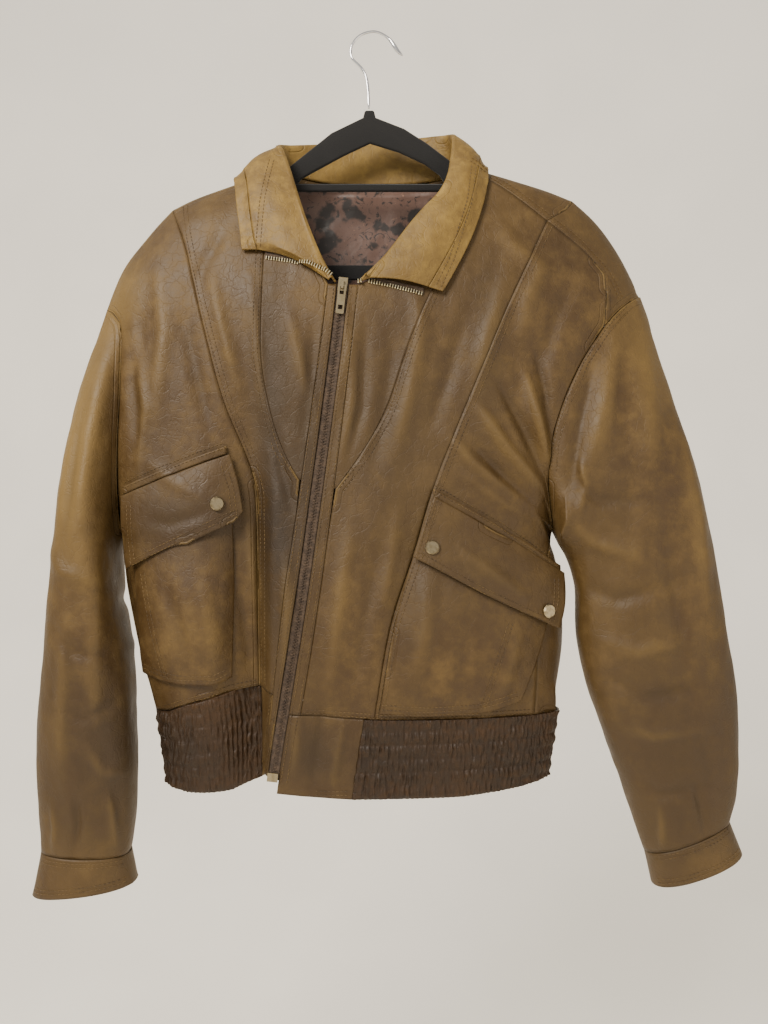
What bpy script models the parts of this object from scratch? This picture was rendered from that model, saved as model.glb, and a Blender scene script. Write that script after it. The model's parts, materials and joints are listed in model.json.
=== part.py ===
"""A leather blouson on a flocked hanger, built as the pieces that are cut and sewn.

The origin is inside the top of the hanger's hook, +Z is up, the jacket's front faces -Y and its
left side, as worn, is at +X. Outlines are written in millimetres and scaled when a mesh is made.
"""

import bmesh
import bpy
import numpy as np
from mathutils import Matrix, Vector

LEFT, RIGHT = 1, -1
FRONT, BACK = -1, 1

# Driving dimensions, in millimetres
MM = 0.001
WALL = 1.6
BAND_WALL = 2.2
SEAM = 0.3
TAPE_HALF = 6.3
LINING_GAP = 5.5
LINING_WALL = 1.0
TAPE_WALL = 0.9
GATHER_PITCH = 5.4
GATHER_HEIGHT = 1.7
LOOP_POINTS = 24
YOKE_ROWS = 10
YOKE_END = 3
FLANK_ROWS = 8
BIB_ROWS = {LEFT: 10, RIGHT: 12}
SLEEVE_ROWS = 15
WIRE_RADIUS = 1.6
HANGER_HALF_THICKNESS = 2.5
BAND_MIDDLE = -785.0
ZIP_FOOT = -806.0
STUD_PROFILE = [(6.9, 0.3), (7.5, 1.1), (6.2, 2.5)]

# Slider and pull tab, measured from the tab's hinge: down along the zip, and out from the jacket
ANCHOR_HEIGHT = -294.0
SLIDER_WIDTH = 9.5
SLIDER_LENGTH = (-9.0, 5.0)
SLIDER_TOP = 2.4
BRIDGE = (-5.5, 3.0)
BRIDGE_WIDTH = 2.4
BRIDGE_THICKNESS = 1.2
BRIDGE_ROOM = 2.6
PIVOT_LEVEL = 3.7
PULL_WALL = 1.6
PULL_OUTLINE = [(-4.15, -0.8), (4.15, -0.8), (4.15, 28), (3.2, 29), (-3.2, 29), (-4.15, 28)]
PULL_HOLES = [
    [(-2.2, 0.8), (2.2, 0.8), (2.2, 9), (-2.2, 9)],
    [(-2.4, 20), (2.4, 20), (2.4, 24.5), (-2.4, 24.5)],
]

# Hanger: outline of its body with the windows, and the middle of the hook's wire
HANGER_OUTLINE = [
    (-10, -86), (0, -86), (2, -94), (33, -106), (58, -122), (83, -141), (91, -151), (100, -153),
    (127.5, -161), (147, -166.5), (180, -176.5), (213, -188), (220, -195), (222, -208), (213, -222),
    (206, -240), (203, -262),
    (195, -272), (-205, -272), (-212, -262), (-215, -240), (-219, -226), (-222, -214), (-219, -206),
    (-212, -200.5), (-149, -173.5), (-110, -157.5), (-96, -150.5), (-68, -128), (-47, -111), (-12, -94),
]
HANGER_HOLES = [
    [(-4.4, -122), (-34, -136), (-66, -153), (-80, -161), (-84, -166.5), (78, -166.5), (72, -157),
     (56, -145), (28, -132)],
    [(-96, -175), (-120, -180), (-149, -190), (-190, -209), (-199, -225), (-199, -244), (-192, -256),
     (182, -256), (188, -244), (190, -225), (186, -206), (150, -188), (120, -179), (96, -175)],
]
HOOK_PATH = [(-5.5, -85.6), (-5.8, -70), (-7.7, -51), (-14, -38), (-25.3, -26.7), (-26, -19), (-21, -8),
             (-12, -1), (0, 1.6), (12, -3), (21, -12), (25.3, -20), (32, -25.6)]

# Shoulder ridge, armhole and flank of each side: height and distance from the middle
RIDGE = {
    RIGHT: [(-146.5, -99), (-166, -149), (-193, -218), (-226, -248.5), (-262, -277), (-305, -293.6)],
    LEFT: [(-146, 94), (-156.5, 127.5), (-162, 147), (-172, 180), (-184, 215.5), (-219, 253),
           (-257.6, 276), (-290.6, 292.5)],
}
ARMHOLE = {
    (RIGHT, FRONT): [(-305, -293.6), (-312, -282), (-330, -271), (-378, -270), (-437, -272),
                     (-507, -274), (-556, -273)],
    (RIGHT, BACK): [(-305, -293.6), (-320, -285), (-360, -278), (-437, -274), (-507, -274), (-556, -273)],
    (LEFT, FRONT): [(-290.6, 292.5), (-303, 270), (-331, 244), (-367, 219), (-413, 197.5),
                    (-451, 186.5), (-486, 183.6), (-510, 187), (-548, 196)],
    (LEFT, BACK): [(-290.6, 292.5), (-303, 281), (-331, 262), (-367, 244), (-413, 226), (-451, 212),
                   (-505, 199), (-548, 196)],
}
FLANK = {
    RIGHT: [(-556, -273), (-593, -273), (-622, -267.5), (-677, -257), (-712, -247), (-743.5, -239),
            (-829, -227)],
    LEFT: [(-548, 196), (-580, 206), (-609, 211), (-668, 212), (-715, 210), (-748, 202), (-811, 192.5),
           (-829, 190)],
}
ARM_TOP = {side: ARMHOLE[side, FRONT][0][0] for side in (LEFT, RIGHT)}
ARM_BOTTOM = {side: ARMHOLE[side, FRONT][-1][0] for side in (LEFT, RIGHT)}
ARM_DEPTH = {RIGHT: 30.0, LEFT: 45.0}

# Distance of the front and the back from the hanger's plane, by height
DEPTH = {
    FRONT: [(-146, 18), (-160, 24), (-180, 31), (-215, 40), (-250, 48), (-291, 57), (-350, 58),
            (-450, 58), (-550, 60), (-650, 63), (-705, 62), (-742, 57), (-829, 56)],
    BACK: [(-146, 30), (-165, 36), (-200, 40), (-300, 42), (-700, 43), (-742, 40), (-829, 39)],
}
ROUNDING = {FRONT: 2.4, BACK: 3.2}

# Creases of the front: height, place across, rise, and the widths of their two flanks
CREASES = [
    ([(-350, -118, 0), (-420, -120, -7), (-500, -121.5, -16), (-600, -123, -24), (-700, -124, -31),
      (-829, -122, -31)], 34, 11),
    ([(-192, -205, 0), (-205, -190, 6), (-238, -155, 5), (-262, -128, 0)], 16, 16),
    ([(-470, 12, 0), (-540, 8, 5), (-690, 2, 5), (-735, 0, 0)], 16, 16),
    ([(-505, 36, 0), (-580, 25, -5), (-680, 10, -5), (-735, 6, 0)], 14, 14),
    ([(-300, 140, 0), (-340, 152, -6), (-400, 166, -7), (-440, 172, 0)], 15, 15),
    ([(-400, 158, 0), (-440, 163, 6), (-480, 164, 4), (-515, 160, 0)], 13, 13),
]
# Full places of the front: middle across, middle height, reach across, reach in height, rise
SWELLS = [(-192, -655, 52, 75, 10), (90, -665, 80, 70, 4), (-190, -790, 45, 50, 5)]

# Seams of the front, as place across and height
ZIP_LINE = [(-292, -31.5), (-341.6, -37), (-498, -57.5), (-660, -80.5), (-808, -105.4), (-829, -108)]
NECK_RIGHT = [(-99, -146.5), (-97, -160), (-92, -185), (-83, -218), (-68, -250), (-53, -275), (-46.7, -291)]
NECK_LEFT = [(95, -153), (93.5, -166), (90, -187), (80, -211), (62, -236), (40, -259), (14, -280),
             (-16.2, -292)]
BIB_RIGHT = [(-104, -147.8), (-111, -200), (-115, -261), (-117, -363), (-108, -419), (-96, -460),
             (-76.2, -494)]
BIB_LEFT = [(101, -155.5), (95, -200), (76, -262), (52, -314), (34, -358), (14, -421), (-9, -462),
            (-39, -503)]
PRINCESS_RIGHT = [(-212, -190.5), (-201, -240), (-190, -284), (-173, -350), (-155, -415), (-131, -473),
                  (-122, -508), (-121, -600), (-121, -712)]
PRINCESS_LEFT = [(185, -216.5), (142, -307), (115, -370), (90, -430), (61, -504), (40, -577),
                 (18, -642), (1, -742)]
YOKE_FRONT_LEFT = [(95, -153), (101, -155.5), (126, -169), (154, -191), (185, -216.5), (217, -242),
                   (247, -275)]
YOKE_BACK = {
    LEFT: [(86, -151), (112, -172), (145, -196), (182, -222), (218, -250), (252, -282)],
    RIGHT: [(-88, -151), (-115, -174), (-150, -202), (-190, -232), (-228, -262), (-262, -295)],
}
NECK_BACK = [(86, -151), (58, -155), (22, -157), (-22, -157), (-60, -155), (-88, -151)]
WAIST_TOP_RIGHT = [(-237, -742), (-220, -740), (-198, -730), (-173, -723), (-147, -715), (-121, -712),
                   (-104, -716)]
WAIST_TOP_LEFT = [(-86, -737), (-74, -737), (1, -742), (171, -742)]
FOOT = {LEFT: -737, RIGHT: -716}
BODY_ROWS = {LEFT: 17, RIGHT: 20}
HEM_BACK = [(-300, -818), (-227, -820), (-120, -824), (0, -825), (120, -820), (190, -812), (300, -812)]
HEM = [(-300, -820), (-227, -820), (-198, -824), (-150, -822), (-121, -812), (-104, -806), (-98, -820),
       (-22, -825), (93, -824), (153, -818), (190, -812), (300, -812)]
SIDE_SEAM_LEFT = [(196, -548), (186, -575), (179, -610), (174, -660), (172, -700), (171, -742)]
SIDE_SEAM_RIGHT = [(-273, -556), (-271.5, -590), (-265, -630), (-255, -677), (-246, -705), (-237, -742)]

# Collar stations: place of the seam, top of the fold, place of the outer edge, fullness, bow
COLLAR = [
    ((-38.5, -290), (-42, -62, -286), (-137, -254), 7, 10),
    ((-50, -274), (-52, -60, -267), (-140, -236), 8, 6),
    ((-68, -250), (-66, -54, -236), (-143, -214), 9, 3),
    ((-83, -218), (-79, -42, -200), (-146, -194), 9, 0),
    ((-92, -185), (-89, -28, -165), (-149, -178), 8, 0),
    ((-97, -160), (-99, -12, -135), (-151, -170), 8, 0),
    ((-99.5, -146.6), (-104, 4, -124), (-148, -165.6), 8, 0),
    ((-88, -151), (-93, 22, -117), (-128, -166), 7, 0),
    ((-60, -155), (-64, 34, -111), (-85, -165), 6, 0),
    ((-22, -157), (-25, 40, -106), (-32, -166), 6, 0),
    ((22, -157), (22, 40, -104), (28, -165), 6, 0),
    ((58, -155), (56, 32, -104), (78, -162), 6, 0),
    ((84, -152), (78, 18, -108), (112, -159), 7, 0),
    ((95.5, -146.4), (86, 2, -114), (120, -154.5), 7, 0),
    ((94, -158), (86, -14, -132), (123, -163), 7, 0),
    ((92, -185), (82, -29, -165), (121, -182), 8, 0),
    ((80, -210), (72, -41, -192), (112, -215), 9, 0),
    ((60, -235), (50, -49, -214), (102, -243), 9, 0),
    ((40, -257), (30, -53, -241), (88, -272), 8, 0),
    ((18, -278), (14, -59, -264), (79, -288), 7, 0),
    ((-16, -290), (-8, -63, -283), (71.6, -300), 6, 3),
]
COLLAR_WALL = 2.0
COLLAR_BAND = 16.0
FOLD_RADIUS = 2.3
LEAF_CLEARANCE = 3.4
COLLAR_ROWS = [0, 0.5, 1, 2, 3, 4, 5, 5.5, 6, 6.5, 7, 8, 9, 10, 11, 12, 12.5, 13, 13.5, 14, 15, 16, 17,
               18, 19, 19.5, 20]
RIDGE_CLEARANCE = 2.5

# Free zip ends under the collar's front edges, as place across and height of the teeth
ZIP_TOPS = {
    RIGHT: [(-56, -276), (-66.6, -270), (-88, -265), (-113, -261)],
    LEFT: [(4, -289.5), (16, -292), (31, -296), (52, -301.5)],
}
# Pockets: outlines as left, right, top and bottom lines
POUCH = {
    RIGHT: ([(-262, -518), (-252, -600), (-248, -700)], [(-150, -474), (-147, -600), (-150, -700)],
            [(-262, -518), (-150, -474)], [(-248, -700), (-207.7, -707), (-165.4, -707), (-150, -700)]),
    LEFT: ([(63, -516), (40, -577), (18, -660), (6, -736)], [(193, -596), (176, -666), (154, -724)],
           [(63, -516), (132, -552), (193, -596)], [(6, -736), (55, -738), (110, -736), (154, -724)]),
}
FLAP = {
    RIGHT: ([(-264, -509.5), (-262, -560), (-258, -588)], [(-150, -466.5), (-142, -500), (-138, -526)],
            [(-264, -509.5), (-150, -466.5)], [(-258, -588), (-200, -561), (-145, -534.3), (-138, -526)]),
    LEFT: ([(62, -511), (50, -545), (42, -574)], [(199, -593), (197, -622), (190, -650)],
           [(62, -511), (132, -550), (199, -593)], [(42, -574), (110, -612), (190, -650)]),
}
WELT = {RIGHT: [(-264, -500), (-153, -458)], LEFT: [(61.5, -503), (134, -543), (197, -585)]}
WELT_WIDTH = 9.0
WELT_WALL = 2.2
WELT_LIFT = {RIGHT: 0.8, LEFT: 3.2}
POUCH_RISE = 8.0
POUCH_LIFT = {RIGHT: 1.7, LEFT: 2.3}
FLAP_LIFT = {RIGHT: 0.8, LEFT: 2.4}
STUD_SEAT = {(RIGHT, 1): 0.6, (LEFT, 1): 0.9, (LEFT, 2): 0.6}
STUDS = {RIGHT: [(-160, -517.7)], LEFT: [(60.2, -563), (185.5, -631)]}

# Finishes: colour, roughness and metallic value
FINISHES = {
    "leather": ((0.32, 0.21, 0.10), 0.5, 0.0),
    "trim": ((0.25, 0.16, 0.075), 0.5, 0.0),
    "lining": ((0.11, 0.07, 0.055), 0.35, 0.0),
    "tape": ((0.065, 0.045, 0.035), 0.85, 0.0),
    "velvet": ((0.006, 0.006, 0.007), 0.95, 0.0),
    "chrome": ((0.75, 0.75, 0.75), 0.12, 1.0),
    "nickel": ((0.5, 0.47, 0.4), 0.3, 1.0),
}


def clear_scene():
    for item in list(bpy.data.objects):
        bpy.data.objects.remove(item, do_unlink=True)


def smooth(points, at):
    """The value of a smooth curve without overshoot, through (key, value) points."""
    key, value = np.array(sorted(points), float).T
    step = np.diff(key)
    slope = np.diff(value) / step
    before, after = slope[:-1], slope[1:]
    same_way = before * after > 0
    total = np.where(same_way, before + after, 1.0)
    tangent = np.concatenate([slope[:1], np.where(same_way, 2 * before * after / total, 0), slope[-1:]])
    at = np.clip(np.asarray(at, float), key[0], key[-1])
    i = np.clip(np.searchsorted(key, at) - 1, 0, len(step) - 1)
    t = (at - key[i]) / step[i]
    rise = (1 + 2 * t) * (1 - t) ** 2 * value[i] + t * t * (3 - 2 * t) * value[i + 1]
    turn = t * (1 - t) ** 2 * tangent[i] - t * t * (1 - t) * tangent[i + 1]
    return rise + step[i] * turn


def along(points, count):
    """count + 1 points, evenly spaced along a smooth line through the given points."""
    points = np.array(points, float)
    measure = np.concatenate([[0], np.cumsum(np.linalg.norm(np.diff(points, axis=0), axis=1))])
    at = np.linspace(0, measure[-1], count + 1)
    return np.stack([smooth(list(zip(measure, points[:, k])), at) for k in range(points.shape[1])], -1)


def unit(v):
    return v / np.maximum(np.linalg.norm(v, axis=-1, keepdims=True), 1e-9)


def edge(side, face, z):
    """Where a face of the body ends at one side: its ridge, its armhole or its flank."""
    arm = np.where(z > ARM_BOTTOM[side], smooth(ARMHOLE[side, face], z), smooth(FLANK[side], z))
    return np.where(z > ARM_TOP[side], smooth(RIDGE[side], z), arm)


def edge_depth(side, z):
    """How far the armhole's edge stands from the hanger's plane."""
    middle = (ARM_TOP[side] + ARM_BOTTOM[side]) / 2
    half = (ARM_TOP[side] - ARM_BOTTOM[side]) / 2
    return ARM_DEPTH[side] * np.sqrt(np.clip(1 - ((z - middle) / half) ** 2, 0, 1))


def crease(points, low_width, high_width, x, z):
    """The rise of one crease, which fades at its ends."""
    place = smooth([(p[0], p[1]) for p in points], z)
    rise = smooth([(p[0], p[2]) for p in points], z)
    width = np.where(x < place, low_width, high_width)
    return rise * np.exp(-(((x - place) / width) ** 2))


def front_relief(x, z):
    rise = sum(crease(points, low, high, x, z) for points, low, high in CREASES)
    for middle, height, across, upright, swell in SWELLS:
        rise = rise + swell * np.exp(-(((x - middle) / across) ** 2) - ((z - height) / upright) ** 2)
    return rise


def body_point(beta, z):
    """A point of the body's outside: beta runs round it, -90 to 90 degrees over the front."""
    beta, z = np.broadcast_arrays(np.asarray(beta, float), np.asarray(z, float))
    turn = np.radians(beta)
    across = np.sin(turn)
    points = []
    for face in (FRONT, BACK):
        low, high = edge(RIGHT, face, z), edge(LEFT, face, z)
        x = (low + high) / 2 + (high - low) / 2 * across
        rim = np.where(across < 0, edge_depth(RIGHT, z), edge_depth(LEFT, z))
        crown = np.clip(1 - np.abs(across) ** ROUNDING[face], 0, 1) ** 0.5
        depth = rim + (smooth(DEPTH[face], z) - rim) * crown
        if face == FRONT:
            depth = depth + front_relief(x, z) * np.clip(crown * 1.6, 0, 1) ** 2
        points.append(np.stack([x, face * depth, z], -1))
    return np.where((np.cos(turn) >= 0)[..., None], points[0], points[1])


def beta_of(x, z, face=FRONT):
    """The turn of the body point at a place across and a height."""
    low, high = edge(RIGHT, face, z), edge(LEFT, face, z)
    limit = 1 if face == FRONT else 1 - 1e-12
    across = np.clip((x - (low + high) / 2) / ((high - low) / 2), -limit, limit)
    beta = np.degrees(np.arcsin(across))
    return beta if face == FRONT else 180 - beta


def body_normal(beta, z):
    """The outward direction, taken towards the middle of the face so that edges stay apart."""
    turn = np.radians(beta)
    inward = np.where(np.cos(turn) >= 0, -1.0, 1.0) * np.sign(np.sin(turn) + 1e-9)
    there = body_point(beta, z)
    round_body = (body_point(beta + 0.6 * inward, z) - there) * inward[..., None]
    upward = body_point(beta, z + 0.5) - body_point(beta, z - 0.5)
    return unit(np.cross(round_body, upward))


def loop_normal(side, phi, part):
    """The outward direction at the armhole seam. Body (1) and sleeve (-1) part towards the armpit."""
    lean = 0.2 * (1 + np.cos(phi)) + part * 0.35 * (1 - np.cos(phi))
    return unit(np.stack([side * lean, -np.sin(phi), np.cos(phi)], -1))


def seam_normal(beta, z):
    """body_normal, with the shared direction at the armholes."""
    normal = body_normal(beta, z)
    for side in (LEFT, RIGHT):
        middle, half = (ARM_TOP[side] + ARM_BOTTOM[side]) / 2, (ARM_TOP[side] - ARM_BOTTOM[side]) / 2
        at_loop = (np.abs(np.sin(np.radians(beta)) - side) < 1e-6) & (z < ARM_TOP[side] + 0.01)
        at_loop = at_loop & (z > ARM_BOTTOM[side] - 0.01)
        phi = np.arccos(np.clip((z - middle) / half, -1, 1))
        phi = np.where(np.cos(np.radians(beta)) >= 0, phi, -phi)
        normal = np.where(at_loop[..., None], loop_normal(side, phi, 1), normal)
    return normal


def on_front(places):
    """(x, z) places of the front as (beta, z)."""
    places = np.asarray(places, float)
    return np.stack([beta_of(places[..., 0], places[..., 1]), places[..., 1]], -1)


def on_back(places):
    """(x, z) places of the back as (beta, z). A place past the flank is as far round to the front."""
    places = np.asarray(places, float)
    x, z = places[..., 0], places[..., 1]
    low, high = edge(RIGHT, BACK, z), edge(LEFT, BACK, z)
    beta = beta_of(x, z, BACK)
    beta = np.where(x > high + 0.01, beta_of(2 * high - x, z), beta)
    beta = np.where(x < low - 0.01, 360 + beta_of(2 * low - x, z), beta)
    return np.stack([beta, z], -1)


def loop_heights(side):
    """Heights of the armhole's points, from its top down the front."""
    middle, half = (ARM_TOP[side] + ARM_BOTTOM[side]) / 2, (ARM_TOP[side] - ARM_BOTTOM[side]) / 2
    return middle + half * np.cos(np.linspace(0, np.pi, LOOP_POINTS // 2 + 1))


def blend(left, right, top, bottom):
    """Fills four matching border lines with a grid: left and right run down, top and bottom across."""
    rows, columns = len(left), len(top)
    v = np.linspace(0, 1, rows)[:, None, None]
    u = np.linspace(0, 1, columns)[None, :, None]
    sides = (1 - u) * left[:, None] + u * right[:, None]
    ends = (1 - v) * top[None] + v * bottom[None]
    corners = (1 - v) * ((1 - u) * left[0] + u * right[0]) + v * ((1 - u) * left[-1] + u * right[-1])
    return sides + ends - corners


def drawn_in(points, amount, closed=False):
    """Moves the borders of a grid of points inwards, which leaves half a seam's gap."""
    moved = points.copy()
    for axis in (0, 1):
        if closed and axis == 1:
            continue
        grid = np.swapaxes(points, 0, axis)
        shift = np.swapaxes(moved, 0, axis)
        for rim, inside in ((0, 1), (-1, -2)):
            towards = grid[inside] - grid[rim]
            run = unit(np.gradient(grid[rim], axis=0))
            towards = towards - run * np.sum(towards * run, -1, keepdims=True)
            shift[rim] += unit(towards) * amount
    return moved


def finish(name, kind):
    colour, roughness, metallic = FINISHES[kind]
    material = bpy.data.materials.new(name)
    material.use_nodes = True
    shader = material.node_tree.nodes["Principled BSDF"]
    shader.inputs["Base Color"].default_value = (*colour, 1)
    shader.inputs["Roughness"].default_value = roughness
    shader.inputs["Metallic"].default_value = metallic
    return material


def add_object(name, mesh, kind):
    item = bpy.data.objects.new(name, mesh)
    mesh.materials.append(finish(name, kind))
    bpy.context.collection.objects.link(item)
    return item


def close_mesh(name, bm, kind):
    bmesh.ops.remove_doubles(bm, verts=bm.verts, dist=1e-7)
    bmesh.ops.recalc_face_normals(bm, faces=bm.faces)
    mesh = bpy.data.meshes.new(name)
    bm.to_mesh(mesh)
    bm.free()
    mesh.shade_smooth()
    mesh.set_sharp_from_angle(angle=np.radians(40))
    return add_object(name, mesh, kind)


def wall_solid(name, outer, inner, kind, closed=False):
    """A closed wall between an outer and an inner grid of points, which may have fewer rows."""
    bm = bmesh.new()
    skins = [[[bm.verts.new(p * MM) for p in row] for row in grid] for grid in (outer, inner)]
    columns = len(outer[0])
    last = columns if closed else columns - 1
    for skin in skins:
        for low, high in zip(skin[:-1], skin[1:]):
            for k in range(last):
                after = (k + 1) % columns
                bm.faces.new((low[k], low[after], high[after], high[k]))
    for outside, inside in ((skins[0][0], skins[1][0]), (skins[0][-1], skins[1][-1])):
        for k in range(last):
            after = (k + 1) % columns
            bm.faces.new((outside[k], outside[after], inside[after], inside[k]))
    if not closed:
        for k in (0, columns - 1):
            rim = [row[k] for row in skins[0]] + [row[k] for row in reversed(skins[1])]
            side_faces(bm, rim, len(skins[0]), len(skins[1]))
    return close_mesh(name, bm, kind)


def side_faces(bm, rim, outer_count, inner_count):
    """Closes one side of a wall: quads where its skins have the same rows, else one fan."""
    outer, inner = rim[:outer_count], rim[outer_count:][::-1]
    if outer_count == inner_count:
        for k in range(outer_count - 1):
            bm.faces.new((outer[k], outer[k + 1], inner[k + 1], inner[k]))
        return
    half = outer_count // 2
    for k in range(outer_count - 1):
        bm.faces.new((outer[k], outer[k + 1], inner[0] if k < half else inner[-1]))
    bm.faces.new((outer[half], inner[-1], inner[0]))


def levels(grid, top, wall, draw=SEAM / 2):
    """Outer and inner points of a piece whose outside is at top above the body."""
    beta, z = grid[..., 0], grid[..., 1]
    normal = seam_normal(beta, z)
    outer = body_point(beta, z) + normal * np.broadcast_to(top, beta.shape)[..., None]
    return drawn_in(outer, draw), drawn_in(outer - normal * wall, draw)


def cloth(name, grid, kind="leather", top=0.0, wall=WALL):
    """A piece of the body, or one laid on it, with its outside at top above the body."""
    wall_solid(name, *levels(grid, top, wall), kind)


def fill(left, right, top, bottom):
    """A grid over the body from its four border lines, left and right with equal counts."""
    left, right, top = np.array(left, float), np.array(right, float), np.array(top, float)
    bottom = np.array(bottom, float) if len(bottom) == len(top) else along(bottom, len(top) - 1)
    top[0], top[-1] = left[0], right[0]
    bottom[0], bottom[-1] = left[-1], right[-1]
    return blend(left, right, top, bottom)


def joined(*lines):
    """Lines laid end to end, without the repeated points."""
    return np.concatenate([lines[0]] + [line[1:] for line in lines[1:]])


def placket_edge(side, top, bottom, count):
    """The outer edge of the strip beside the zip, as (x, z)."""
    z = np.linspace(top, bottom, count + 1)
    width = smooth([(-829, 5 if side == RIGHT else 12), (-740, 6 if side == RIGHT else 12),
                    (-690, 9 if side == RIGHT else 12), (-620, 12), (-292, 9)], z)
    return np.stack([smooth(ZIP_LINE, z) + side * (TAPE_HALF + width), z], -1)


def tape_edge(side, top, bottom, count):
    z = np.linspace(top, bottom, count + 1)
    return np.stack([smooth(ZIP_LINE, z) + side * TAPE_HALF, z], -1)


def armhole_line(side, face):
    """The armhole from the yoke's or the ridge's end down to the armpit, as (x, z)."""
    first = 0 if (side, face) == (RIGHT, FRONT) else YOKE_END
    z = loop_heights(side)[first:]
    return np.stack([edge(side, face, z), z], -1)


def side_seam(side):
    """The seam from the armpit to the waist, as (x, z) on the front."""
    fine = along(SIDE_SEAM_RIGHT if side == RIGHT else SIDE_SEAM_LEFT, 100)
    line = fine[np.round(100 * np.linspace(0, 1, FLANK_ROWS + 1) ** 1.25).astype(int)]
    line[0, 0] = edge(side, FRONT, line[0, 1])
    return line


def ridge_line(side):
    """The top of a shoulder from the neck to the armhole, as (x, z)."""
    line = along([(x, z) for z, x in RIDGE[side]], YOKE_ROWS)
    line[-1, 1] = ARM_TOP[side]
    return line


def yoke_front(side):
    """The front seam of a yoke from the neck to the armhole. The right one is the ridge itself."""
    if side == RIGHT:
        return ridge_line(RIGHT)
    half = YOKE_ROWS // 2
    end = armhole_line(LEFT, FRONT)[0]
    upper = along(YOKE_FRONT_LEFT[1:5], half - 1)
    return joined(YOKE_FRONT_LEFT[:2], upper, along(YOKE_FRONT_LEFT[4:] + [end], half))


def yoke_back(side):
    return along(YOKE_BACK[side] + [armhole_line(side, BACK)[0]], YOKE_ROWS)


def strip_edge(side, line):
    """The outer edge of the strip beside the zip, from the neck to the waist, with the bib's tip."""
    seam, neck = (BIB_RIGHT, NECK_RIGHT) if side == RIGHT else (BIB_LEFT, NECK_LEFT)
    tip, foot = seam[-1][1], FOOT[side]
    rows = BODY_ROWS[side] - BIB_ROWS[side]
    upper, lower = line(side, neck[-1][1], tip, BIB_ROWS[side] - 5), line(side, tip, foot, rows)
    return upper, lower


def bibs():
    """Centre front panels, each between the neck, the zip and a curved seam."""
    sides = ((RIGHT, NECK_RIGHT, BIB_RIGHT, "right"), (LEFT, NECK_LEFT, BIB_LEFT, "left"))
    for side, neck, seam, name in sides:
        outer = along(seam, BIB_ROWS[side])
        inner = joined(along(neck, 5), strip_edge(side, placket_edge)[0])
        borders = (outer, inner) if side == RIGHT else (inner, outer)
        ends = [[borders[0][k], borders[1][k]] for k in (0, -1)]
        cloth(name + "_bib", on_front(fill(*borders, along(ends[0], 4), ends[1])))


def bib_side(side, seam):
    """The inner border of a middle front: the bib's seam, then the strip beside the zip."""
    upper, lower = along(seam, BIB_ROWS[side]), strip_edge(side, placket_edge)[1]
    lower[0] = upper[-1]
    return joined(upper, lower)


def princess(side):
    """The long seam between middle and side front."""
    if side == LEFT:
        return along(PRINCESS_LEFT, BODY_ROWS[LEFT])
    return along([ridge_line(RIGHT)[YOKE_ROWS // 2], *PRINCESS_RIGHT[1:]], BODY_ROWS[RIGHT])


def front_panels():
    """Middle and side fronts, which meet at the long slanting seams."""
    half = YOKE_ROWS // 2
    inner, outer, top = bib_side(RIGHT, BIB_RIGHT), princess(RIGHT), ridge_line(RIGHT)[half::-1]
    cloth("right_middle_front", on_front(fill(outer, inner, top, [outer[-1], inner[-1]])))
    inner, outer, top = bib_side(LEFT, BIB_LEFT), princess(LEFT), yoke_front(LEFT)[1:half + 1]
    cloth("left_middle_front", on_front(fill(inner, outer, top, [inner[-1], outer[-1]])))

    arm = joined(armhole_line(RIGHT, FRONT), side_seam(RIGHT))
    top = ridge_line(RIGHT)[:half - 1:-1]
    cloth("right_side_front", on_front(fill(arm, princess(RIGHT), top, WAIST_TOP_RIGHT[:6])))
    arm = joined(armhole_line(LEFT, FRONT), side_seam(LEFT))
    seam = princess(LEFT)
    cloth("left_side_front", on_front(fill(seam, arm, yoke_front(LEFT)[half:], [seam[-1], arm[-1]])))


def round_flank(side):
    """The side seam in the back's own places, which run on past the flank."""
    seam = side_seam(side)
    far = edge(side, FRONT, seam[:, 1])
    return np.stack([2 * far - seam[:, 0], seam[:, 1]], -1)


def back_panel():
    left = joined(armhole_line(LEFT, BACK), round_flank(LEFT))
    right = joined(armhole_line(RIGHT, BACK), round_flank(RIGHT))
    top = joined(yoke_back(LEFT)[::-1], along(NECK_BACK, 6), yoke_back(RIGHT))
    turn = np.linspace(62, 278, 25)
    low, high = FLANK[RIGHT][5][1], FLANK[LEFT][5][1]
    reach = (low + high) / 2 + (high - low) / 2 * np.sin(np.radians(turn))
    past = np.where(turn < 90, 2 * high - reach, np.where(turn > 270, 2 * low - reach, reach))
    foot = [(x, -742.0) for x in past]
    cloth("back", on_back(fill(left, right, top, foot)))


def yoke_rows(side):
    """Rows across a shoulder: from the front seam over the ridge to the back seam."""
    middle = 90.0 if side == LEFT else 270.0
    front, back = on_front(yoke_front(side)), on_back(yoke_back(side))
    front[:, 0] += 0 if side == LEFT else 360
    steps = np.linspace(-1, 1, 7) if side == LEFT else np.linspace(0, 1, 4)
    heights = loop_heights(side)
    rows = []
    for (front_beta, front_z), (_, ridge_z), (back_beta, back_z) in zip(front, ridge_line(side), back):
        row = []
        for step in steps:
            foot_beta, foot_z = (front_beta, front_z) if step < 0 else (back_beta, back_z)
            beta = middle + abs(step) * (foot_beta - middle)
            slope = abs(np.cos(np.radians(foot_beta))) + 1e-9
            share = abs(np.cos(np.radians(beta))) / slope if step else 0
            row.append((beta, ridge_z + (foot_z - ridge_z) * min(share, 1) ** 2))
        rows.append(row)
    end = np.interp(np.abs(steps), np.linspace(0, 1, YOKE_END + 1), heights[:YOKE_END + 1])
    nudge = np.where(steps > 0, 1e-4, 0) * side
    rows[-1] = list(zip(middle + nudge, end))
    return np.array(rows)


def yokes():
    """Both shoulder yokes, each cut in two with a seam across the shoulder."""
    half = YOKE_ROWS // 2
    for side, name in ((RIGHT, "right"), (LEFT, "left")):
        rows = yoke_rows(side)
        cloth(name + "_yoke_inner", rows[:half + 1])
        cloth(name + "_yoke_outer", rows[half:])


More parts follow.
